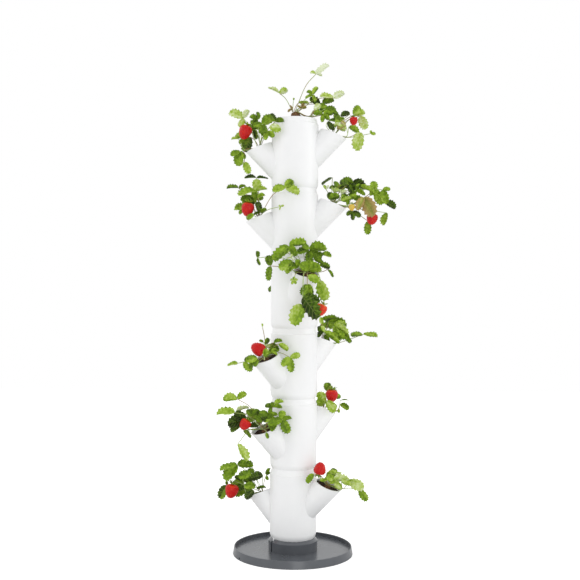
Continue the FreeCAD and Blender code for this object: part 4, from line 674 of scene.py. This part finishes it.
        (-12, 4, 48, 0, 0.25, [(200, 22, 35), (285, 22, 35), (60, 20, 35)]),
        (10, -24, 30, 8, 0.35, [(122, 20, 35), (40, 20, 35)]),
    ], "berries": [(-31, -19, 56, 36, 16, 250, 0)]},
    "plant_6_high": {"leaves": [
        (-17, -29, 32, 12, 0.15, [(320, 24, 30)]),
        (0, -30, 24, 5, 0.6, [(358, 20, 70)]),
        (43, -5, 53, 5, 0.15, [(182, 24, 35)]),
        (52, -8, 50, 15, 0.55, [(62, 28, 15), (15, 30, 30)]),
        (68, -4, 47, 10, 0.65, [(300, 34, 25)]),
        (32, -15, 24, 10, 2.85, [(200, 24, 40), (140, 16, 40)]),
        (68, -8, 6, 5, 0.72, [(263, 40, 20)]),
        (96, -3, 2, 0, 0.5, [(0, 13, 30), (80, 9, 30)]),
        (8, 28, 34, -20, 0.5, [(90, 26, 20), (20, 24, 30), (160, 22, 30)]),
        (40, 24, 20, -10, 0.45, [(340, 28, 30)]),
        (8, -14, 22, 8, 0.55, [(200, 20, 35), (345, 24, 35), (100, 18, 35)]),
    ], "berries": [(52, -14, 44, 20, 10, 270, 0)]},
    "plant_top": {"leaves": [
        (-41, 5, 68, 5, 0.7, [(152, 34, 64), (35, 24, 25)]),
        (53, 10, 119, 5, 0.98, [(39, 43, 64), (160, 16, 45), (0, 16, 60)]),
        (45, -20, 66, 5, 0.55, [(60, 24, 50), (150, 18, 45), (205, 20, 40), (300, 16, 50)]),
        (64, 12, 40, 15, 0.15, [(150, 32, 20)]),
        (99, -5, 57, 5, 0.75, [(165, 36, 55), (32, 32, 35)]),
        (70, 22, 43, 5, 0.2, [(22, 32, 50)]),
        (78, -25, 29, 5, 0.2, [(352, 28, 40)]),
        (50, -24, 24, 15, 0.7, [(50, 24, 30)]),
        (42, 20, 18, 5, 0.55, [(0, 26, 55)]),
        (90, 0, 19, 0, 0.15, [(356, 22, 75)]),
        (8, -10, 44, 0, 0.45, [(2, 26, 70)]),
        (-5, -6, 50, 0, 0.5, [(90, 8, 30)]),
        (72, -20, 16, 5, 0.45, [(170, 24, 30), (12, 26, 35), (265, 18, 30), (322, 20, 30)]),
        (16, -14, 30, 5, 2.25, [(70, 14, 40), (150, 12, 45), (20, 13, 40)]),
        (-8, -14, 27, 5, 2.2, [(120, 12, 40), (200, 12, 40)]),
        (58, -14, 34, 8, 0.4, [(345, 28, 30), (262, 20, 30), (20, 22, 40)]),
    ], "berries": []},
}


# A leaflet's blade, in shares of its length where nothing else is said
leaflets = {
    "veins": 7,  # side veins, and teeth, on each half
    "steps": 4,  # faces from midrib to margin
    "halfWidth": 0.36, "widthLuck": (0.88, 1.12),
    "outline": (1.1, 0.85),  # how far its belly lies towards the foot, and how full it is
    "midrib": (0.95, 1.6),  # where it ends, and how its points gather towards the foot
    "tooth": (0.055, 0.8, 0.6),  # size, and how much of it points sideways and tipwards
    "teeth": (0.15, 0.25),  # where on the margin they start, and how soon they are full
    "pleat": 0.02,  # rise between two side veins
    "fold": (0.15, 0.65),  # how steeply the halves rise from the midrib
    "droop": (0.04, 0.22),  # how far the tip bends down
    "wave": 0.03, "waves": 1.7,  # how far the margin waves up and down, and how often
    "twirl": 0.35,  # turn from foot to tip, in radians
    "stem": 0.6,  # from the joint to the blade's foot, in millimetres
    "thickness": 0.4,  # in millimetres
    "toneLuck": 0.12, "paintedHalfLight": 0.11,  # tone that differs at random from leaf to leaf, and painted light and shade from half to half
    "dryness": (0.25, 0.7),  # how brown a withered leaf is at the midrib, and how much more at the margin
    "turnOver": -0.35,  # a blade whose face looks further down than this shows its other side
}


# Adds faces between two rows of corners, leaving out corners that are the same; maps holds both rows' places
# on a UV map
def bridge(mesh, lower, upper, flip, maps=None, mapLayer=None, materialIndex=0):
    for at in range(len(lower) - 1):
        ring = {}
        for row, step in ((0, at), (0, at + 1), (1, at + 1), (1, at)):
            ring.setdefault((lower, upper)[row][step], maps[row][step] if maps else None)
        if len(ring) < 3:
            continue
        face = mesh.faces.new(list(ring)[::-1] if flip else list(ring))
        face.material_index = materialIndex
        face.smooth = True
        if maps:
            for loop in face.loops:
                loop[mapLayer].uv = ring[loop.vert]


# One toothed blade. p runs along the margin from foot to tip, t from the midrib out.
def addBlade(mesh, layers, joint, along, facing, length, tone, luck):
    halfWidth = leaflets["halfWidth"] * luck.uniform(*leaflets["widthLuck"])
    across = facing.cross(along)
    rows, steps = leaflets["veins"] * 2, leaflets["steps"]
    fold, droop = luck.uniform(*leaflets["fold"]), luck.uniform(*leaflets["droop"])
    phase, twirl = luck.uniform(0, 6.28), luck.uniform(-leaflets["twirl"], leaflets["twirl"])
    dry, tone = (1.0, tone - 2) if tone >= 2 else (0.0, tone)
    toneHere = tone + luck.uniform(-leaflets["toneLuck"], leaflets["toneLuck"])
    halfPaintedLight = luck.uniform(-leaflets["paintedHalfLight"], leaflets["paintedHalfLight"])  # painted light: one half of the blade lighter and the other darker, as a fold would catch the light
    foot = joint + along * leaflets["stem"]
    (belly, fullness), (ribEnd, ribPace) = leaflets["outline"], leaflets["midrib"]
    (tooth, sideways, tipwards), (firstTooth, growth) = leaflets["tooth"], leaflets["teeth"]
    dryMiddle, dryMargin = leaflets["dryness"]

    def corner(row, step, side):
        p, t = row / rows, step / steps
        middle = ribEnd * p ** ribPace
        edgeAlong = (1 - math.cos(math.pi * p)) / 2
        edgeAcross = halfWidth * max(0.0, math.sin(math.pi * p ** belly)) ** fullness
        grown = min(1.0, max(0.0, (p - firstTooth) / growth))
        if step == steps and 0 < row < rows:
            push = tooth * grown * (1 if row % 2 else -1)
            edgeAcross += push * sideways
            edgeAlong += push * tipwards if row % 2 else 0
        u = middle + (edgeAlong - middle) * t
        v = edgeAcross * t * side
        around = 2 * math.pi * p * leaflets["waves"] + phase * side
        rise = fold * abs(v) + leaflets["wave"] * math.sin(around) * t * t
        rise += leaflets["pleat"] * math.sin(math.pi * t) * (-1 if row % 2 else 1) * grown
        cos, sin = math.cos(twirl * u), math.sin(twirl * u)
        v, rise = v * cos - rise * sin, v * sin + rise * cos
        spot = foot + along * (u * length) + across * (v * length) + facing * (rise * length)
        spot.z -= droop * u * u * length
        vertex = mesh.verts.new(spot * mm)
        # the blade's tone, with painted light making one half lighter and the other darker
        vertex[layers["tone"]] = min(1.0, max(0.0, toneHere + halfPaintedLight * side * min(1, step)))
        vertex[layers["dry"]] = dry * min(1.0, dryMiddle + dryMargin * t)
        return vertex

    rib = [corner(row, 0, 1) for row in range(rows + 1)]
    point = [rib[rows]] + [corner(rows, step, 1) for step in range(1, steps + 1)]
    for side in (1, -1):
        grid = [[rib[0]] * (steps + 1)]
        for row in range(1, rows):
            grid.append([rib[row]] + [corner(row, step, side) for step in range(1, steps + 1)])
        grid.append(point)
        maps = [[(row / rows, 0.5 + 0.5 * side * step / steps) for step in range(steps + 1)]
                for row in range(rows + 1)]
        for row in range(rows):
            bridge(mesh, grid[row], grid[row + 1], side > 0, (maps[row], maps[row + 1]), layers["map"])


# The small green blades on each fruit
calyx = {
    "sepals": 8, "sizes": (0.75, 1.0),  # lengths in shares of the fruit's radius
    # (along, half width, rise) in shares of a blade's length
    "side": [(0.0, 0.10, 0.0), (0.3, 0.26, 0.05), (0.65, 0.17, 0.16), (1.0, 0.0, 0.38)],
    "cup": 0.05,  # how far a blade's edges rise over its middle, in shares of its length
    "sag": 0.12,  # how far the blades lean back up the stalk
    "tone": 0.4,
    "seat": 1.4, "luck": 0.15,  # millimetres above the fruit's top, and unevenness round it
}


def addSepal(mesh, layers, foot, along, facing, length):
    across = facing.cross(along)
    rows = []
    for far, wide, rise in calyx["side"]:
        row = []
        for side in (-1, 0, 1):
            if wide == 0 and row:
                row.append(row[0])
                continue
            vertex = mesh.verts.new((foot + along * (far * length) + across * (wide * side * length)
                                     + facing * ((rise + abs(side) * calyx["cup"]) * length)) * mm)
            vertex[layers["tone"]] = calyx["tone"]
            row.append(vertex)
        rows.append(row)
    maps = [[(far, 0.2 + 0.3 * side) for side in (0, 1, 2)] for far, wide, rise in calyx["side"]]
    for at in range(len(rows) - 1):
        bridge(mesh, rows[at], rows[at + 1], True, (maps[at], maps[at + 1]), layers["map"])


# A ring of corners round an axis, closed by its first one; reach gives the radius in each direction
def addRing(mesh, middle, side, other, corners, reach):
    ring = []
    for turn in range(corners):
        around = 2 * math.pi * turn / corners
        flat = side * math.cos(around) + other * math.sin(around)
        ring.append(mesh.verts.new((middle + flat * reach(around)) * mm))
    return ring + ring[:1]


# A crown, in shares of its radius and height where nothing else is said
crownShape = {
    "rows": 8, "corners": 26,
    "foot": 1.08, "taper": 0.34,  # its radius at the soil, and how much of it is lost upwards
    "dome": 0.6, "roundness": 2.4,  # where it starts to close, and how suddenly
    "least": 0.3,  # the smallest radius, in millimetres
    "top": 1.02, "sunk": 1,  # its height, and how many millimetres of it are in the soil
    "ribs": 7, "ribDepth": 0.10,
    "lumps": 0.16, "lumpPace": (1.7, 2.6),  # how deep, and how often they change round it and up it
}


# A ribbed mound of old scales that narrows upwards and closes in a dome, with a face at both ends
def addCrown(mesh, mapLayer, soil, up, crown, seed):
    radius, height = crown
    side = up.orthogonal().normalized()
    other = up.cross(side)
    rows, corners = crownShape["rows"], crownShape["corners"]
    lumpRound, lumpUp = crownShape["lumpPace"]
    rings = []
    for row in range(rows + 1):
        rise = row / rows
        closed = max(0.0, (rise - crownShape["dome"]) / (1 - crownShape["dome"])) ** crownShape["roundness"]
        wide = radius * (crownShape["foot"] - crownShape["taper"] * rise) * math.sqrt(max(0.0, 1 - closed))

        def reach(around):
            spot = Vector((math.cos(around) * lumpRound, math.sin(around) * lumpRound, rise * lumpUp + seed))
            ribbed = 1 + crownShape["ribDepth"] * math.cos(crownShape["ribs"] * around + row)
            return max(crownShape["least"], wide * (ribbed + crownShape["lumps"] * noise.noise(spot)))

        middle = soil + up * (height * rise * crownShape["top"] - crownShape["sunk"])
        rings.append(addRing(mesh, middle, side, other, corners, reach))
    maps = [(0.0, 0.0)] * (corners + 1)
    for lower, upper in zip(rings, rings[1:]):
        bridge(mesh, lower, upper, False, (maps, maps), mapLayer, 2)
    for ring in (rings[0][:-1][::-1], rings[-1][:-1]):
        mesh.faces.new(ring).material_index = 2


# A fruit's skin, in millimetres where nothing else is said
fruit = {
    "rows": 46, "corners": 112,  # faces of the body, fine enough to show the pits
    "seedSpacing": 4.3, "pitRadius": 2.5, "pitDepth": 1.3,
    "seedSize": (0.65, 0.95, 0.45),
    "unevenness": 0.05, "dents": 1.6,  # share of the radius, and how often it changes from top to tip
    "cap": 2,  # the stalk ends this far above the fruit's top
    # radius and distance from the top, in shares of the fruit's own
    "profile": [(0.0, 0.0), (0.45, 0.0), (0.86, 0.1), (1.0, 0.33), (0.78, 0.71), (0.36, 0.945), (0.0, 1.0)],
}


# Radius and height of the fruit's side, a smooth line through its profile
def fruitProfile(rows):
    line = smoothLine([Vector((wide, far, 0)) for wide, far in fruit["profile"]], steps=8)
    lengths = [0.0]
    for start, finish in zip(line, line[1:]):
        lengths.append(lengths[-1] + (finish - start).length)
    places = []
    for row in range(rows + 1):
        wanted = lengths[-1] * row / rows
        at = max(index for index, length in enumerate(lengths[:-1]) if length <= wanted)
        share = (wanted - lengths[at]) / max(1e-9, lengths[at + 1] - lengths[at])
        places.append(line[at].lerp(line[at + 1], share))
    return [(max(0.0, place.x), min(1.0, max(0.0, place.y))) for place in places]


def addFruit(mesh, layers, top, way, length, radius, unripe, seed):
    side = way.orthogonal().normalized()
    other = way.cross(side)
    rings = []
    for wide, far in fruitProfile(fruit["rows"]):
        middle = top + way * (length * far)

        def reach(around):
            lump = noise.noise(Vector((math.cos(around), math.sin(around), far * fruit["dents"] + seed)))
            return radius * wide * (1 + fruit["unevenness"] * lump)

        if wide < 0.004:
            rings.append([mesh.verts.new(middle * mm)] * (fruit["corners"] + 1))
        else:
            rings.append(addRing(mesh, middle, side, other, fruit["corners"], reach))
        for vertex in rings[-1]:
            vertex[layers["unripe"]] = unripe
            vertex[layers["tipward"]] = far
    for lower, upper in zip(rings, rings[1:]):
        bridge(mesh, lower, upper, True)


def newPiece(name, mesh, materials=()):
    data = bpy.data.meshes.new(name)
    mesh.to_mesh(data)
    mesh.free()
    for material in materials:
        data.materials.append(material)
    piece = bpy.data.objects.new(name, data)
    scene.collection.objects.link(piece)
    return piece


finishes = {
    "shell": mouldedPlastic("whitePolypropyleneSatin"),
    "base": mouldedPlastic("greyPolypropyleneGrained"),
    "soil": mottledStuff("pottingMixMoist"),
    "leafTop": leafSkin("strawberryLeafUpper", 0.0, 0.5, 0.22),
    "leafUnder": leafSkin("strawberryLeafUnderside", 0.08, 0.65, 0.2),
    "stalk": stalkSkin(),
    "crown": mottledStuff("strawberryCrownScales"),
    "fruit": berrySkin(),
    "seed": mottledStuff("strawberrySeedDry"),
}
print("finishes:", len(finishes))


# The moulded pieces and the soil keep their drawn shape and get their finish
def dress(node, finish):
    for slot in nodes[node].material_slots:
        slot.material = finishes[finish]


for node in ("saucer", "base_collar", "drain_grate"):
    dress(node, "base")
for number in storeys:
    dress(f"storey_{number}", "shell")
    dress(f"soil_{number}", "soil")
print("moulded pieces and soil dressed")

grow = {"stalks": stalkTree(), "fruit": seededFruitTree(), "crumbs": crumbTree()}


# A flat disc of soil to strew crumbs on: middle, its way up, the tube's way and the tube's radius
def addDisc(mesh, middle, up, tube, radius):
    side = up.cross(tube).normalized() if abs(up.dot(tube)) < 0.9999 else Vector((0, 1, 0))
    down = side.cross(up).normalized()
    wide = radius - crumbs["margin"]
    stretch = 1 / max(0.5, abs(up.dot(tube)))
    rim = []
    for turn in range(crumbs["rimCorners"]):
        around = 2 * math.pi * turn / crumbs["rimCorners"]
        spot = middle + side * (wide * math.cos(around)) + down * (wide * stretch * math.sin(around))
        rim.append(mesh.verts.new(spot * mm))
    mesh.faces.new(rim)


for number in storeys:
    mesh = bmesh.new()
    for pocket in tower["pockets"]:
        centre, up, soil, tube = mouthOf(number, pocket)
        addDisc(mesh, centre - tube * (tower["soilDrop"] / up.dot(tube)), up, tube, tower["pocketBore"])
    if number == storeys[-1]:
        addDisc(mesh, topRim - upright * tower["soilDrop"], upright, upright, tower["neckBore"])
    piece = newPiece(f"crumbs_{number}", mesh)
    growWith(piece, grow["crumbs"], {
        "crumbSpacing": crumbs["spacing"] * mm, "crumbRadius": crumbs["radius"] * mm,
        "pattern": number, "soilFinish": finishes["soil"]})
    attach(piece, f"storey_{number}_body")
print("soil strewn with crumbs")


# One stalk's path, from its foot to a leaf or a fruit
def addStalk(mesh, layers, path, blush, thin):
    line = smoothLine(path)
    last = None
    for at, spot in enumerate(line):
        vertex = mesh.verts.new(spot * mm)
        vertex[layers["girth"]] = stalks["full"] + (thin - stalks["full"]) * at / (len(line) - 1)
        vertex[layers["blush"]] = blush
        if last:
            mesh.edges.new((last, vertex))
        last = vertex


# The leaf's facing: towards the eye, turned by twist about its own length
def bladeFacing(along, twist):
    facing = Vector((0, -1, 0))
    facing = (facing - along * facing.dot(along)).normalized()
    facing.rotate(Quaternion(along, math.radians(twist)))
    return -facing if facing.z < leaflets["turnOver"] else facing


def addCalyx(mesh, layers, top, way, radius, luck):
    side = way.orthogonal().normalized()
    for turn in range(calyx["sepals"]):
        share = (turn + luck.uniform(-calyx["luck"], calyx["luck"])) / calyx["sepals"]
        outward = Quaternion(way, 2 * math.pi * share) @ side
        along = (outward - way * calyx["sag"]).normalized()
        facing = (-way - along * (-way).dot(along)).normalized()
        length = radius * luck.uniform(*calyx["sizes"])
        addSepal(mesh, layers, top - way * calyx["seat"], along, facing, length)


# Blades get their thickness, and the crown joins them in one piece
def finishLeaves(piece, soil, up, crown, seed):
    wall = piece.modifiers.new("bladeThickness", "SOLIDIFY")
    wall.thickness = leaflets["thickness"] * mm
    wall.offset = -1
    wall.material_offset = 1
    wall.material_offset_rim = 0
    plainMesh(piece)
    whole = bmesh.new()
    whole.from_mesh(piece.data)
    addCrown(whole, whole.loops.layers.uv["map"], soil, up, crown, seed)
    whole.to_mesh(piece.data)
    whole.free()


for order, (name, plant) in enumerate(plants.items()):
    luck = random.Random(order + 21)
    centre, up, soil, crown = seatOf(name)
    tops = [seenPlace(centre, *berry[:3]) for berry in plant["berries"]]
    joints = [seenPlace(centre, *leaf[:3]) for leaf in plant["leaves"]]
    feet = stalkFeet(up, soil, crown, tops + joints)

    blades, rods, berries = bmesh.new(), bmesh.new(), bmesh.new()
    layers = {layer: mesh.verts.layers.float.new(layer) for mesh, layer in (
        (blades, "tone"), (blades, "dry"), (rods, "girth"), (rods, "blush"), (berries, "unripe"),
        (berries, "tipward"))}
    layers["map"] = blades.loops.layers.uv.new("map")
    for foot, joint, leaf in zip(feet[len(tops):], joints, plant["leaves"]):
        lean, tone, shown = leaf[3:]
        blush = luck.uniform(*stalks["leafBlush"])
        addStalk(rods, layers, leafPath(centre, up, foot, joint), blush, stalks["thin"])
        for degrees, length, twist in shown:
            along = direction(degrees, lean)
            addBlade(blades, layers, joint, along, bladeFacing(along, twist), length, tone, luck)
    for foot, top, berry in zip(feet, tops, plant["berries"]):
        length, radius, degrees, unripe = berry[3:]
        way = direction(degrees, 0)
        path = berryPath(centre, up, foot, top - way * fruit["cap"], way, radius)
        addStalk(rods, layers, path, stalks["fruitBlush"], stalks["fruitEnd"])
        addCalyx(blades, layers, top, way, radius, luck)
        addFruit(berries, layers, top, way, length, radius, unripe, order)

    where = name.split("_")[1]
    body = "storey_6_body" if where == "top" else f"storey_{where}_body"
    suffix = name.replace("plant_", "")
    sides = [finishes[finish] for finish in ("leafTop", "leafUnder", "crown")]
    piece = newPiece("leaves_" + suffix, blades, sides)
    finishLeaves(piece, soil, up, crown, order)
    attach(piece, body)
    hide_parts(name)

    piece = newPiece("stalks_" + suffix, rods)
    growWith(piece, grow["stalks"], {"stalkRadius": stalks["radius"] * mm, "ringCorners": stalks["corners"],
                                     "stalkFinish": finishes["stalk"]})
    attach(piece, body)
    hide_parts(name)

    if plant["berries"]:
        piece = newPiece("fruit_" + suffix, berries)
        growWith(piece, grow["fruit"], {
            "seedSpacing": fruit["seedSpacing"] * mm, "pitRadius": fruit["pitRadius"] * mm,
            "pitDepth": fruit["pitDepth"] * mm, "seedSize": [size * mm for size in fruit["seedSize"]],
            "pattern": order, "skinFinish": finishes["fruit"], "seedFinish": finishes["seed"]})
        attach(piece, body)
        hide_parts(name.replace("plant", "berries"))
    else:
        berries.free()
print("plants grown:", len(plants))

# Places and sizes in metres
studio = {
    "sky": 0.9,  # even light from all round
    "key": {"place": (-3.0, -0.6, 2.3), "aim": (0, 0, 0.75), "size": 1.6, "watts": 15},
    "fill": {"place": (3.0, -0.5, 1.8), "aim": (0, 0, 0.65), "size": 2.0, "watts": 18},
    "low": {"place": (0.5, -3.0, 0.35), "aim": (0, 0, 0.1), "size": 1.2, "watts": 10},
    "floor": {"size": 8.0, "colour": "#F2F2F2", "lift": 0.42},
}


def softLamp(name, place, aim, size, watts):
    lamp = bpy.data.lights.new(name, "AREA")
    lamp.shape = "DISK"
    lamp.size = size
    lamp.energy = watts
    holder = bpy.data.objects.new(name, lamp)
    holder.location = place
    holder.rotation_euler = (Vector(aim) - Vector(place)).to_track_quat("-Z", "Y").to_euler()
    scene.collection.objects.link(holder)


for name in ("key", "fill", "low"):
    softLamp(name + "Lamp", **studio[name])

# Sky: a little under white where it lights things, white where it is seen or mirrored
world = bpy.data.worlds.new("paleStudio")
scene.world = world
world.use_nodes = True
sky = world.node_tree
sky.nodes.clear()
path = addNode(sky, "ShaderNodeLightPath").outputs
seen = addNode(sky, "ShaderNodeMath", [path["Is Camera Ray"], path["Is Glossy Ray"]], operation="MAXIMUM")
seen = addNode(sky, "ShaderNodeMath", [seen, path["Is Transmission Ray"]], operation="MAXIMUM")
strength = addNode(sky, "ShaderNodeMapRange", {"Value": seen, "To Min": studio["sky"], "To Max": 1.0})
glow = addNode(sky, "ShaderNodeBackground", {"Color": (1, 1, 1, 1), "Strength": strength})
addNode(sky, "ShaderNodeOutputWorld", {"Surface": glow})

# Floor: matt white paper, lifted to white for the camera, with the object's shadow left on it
material, tree = newMaterial("mattWhitePaper")
path = addNode(tree, "ShaderNodeLightPath").outputs
matt = addNode(tree, "ShaderNodeBsdfDiffuse", {"Color": linearColour(studio["floor"]["colour"])})
lift = addNode(tree, "ShaderNodeMath", [path["Is Camera Ray"], studio["floor"]["lift"]], operation="MULTIPLY")
glow = addNode(tree, "ShaderNodeEmission", {"Color": (1, 1, 1, 1), "Strength": lift})
paper = closeMaterial(material, addNode(tree, "ShaderNodeAddShader", [matt, glow]))

mesh = bmesh.new()
half = studio["floor"]["size"] / 2
corners = ((-half, -half), (half, -half), (half, half), (-half, half))
mesh.faces.new([mesh.verts.new((x, y, 0)) for x, y in corners])
floor = newPiece("paperFloor", mesh, (paper,))

scene.view_settings.view_transform = "Standard"
camera = bpy.data.objects.new("frontCamera", bpy.data.cameras.new("frontCamera"))
camera.location = (eye["aside"] * mm, -eye["distance"] * mm, eye["height"] * mm)
camera.rotation_euler = (math.radians(90), math.radians(eye["roll"]), 0)
camera.data.sensor_width = 36
camera.data.lens = eye["lens"]
scene.collection.objects.link(camera)
scene.camera = camera
print("studio and camera set")
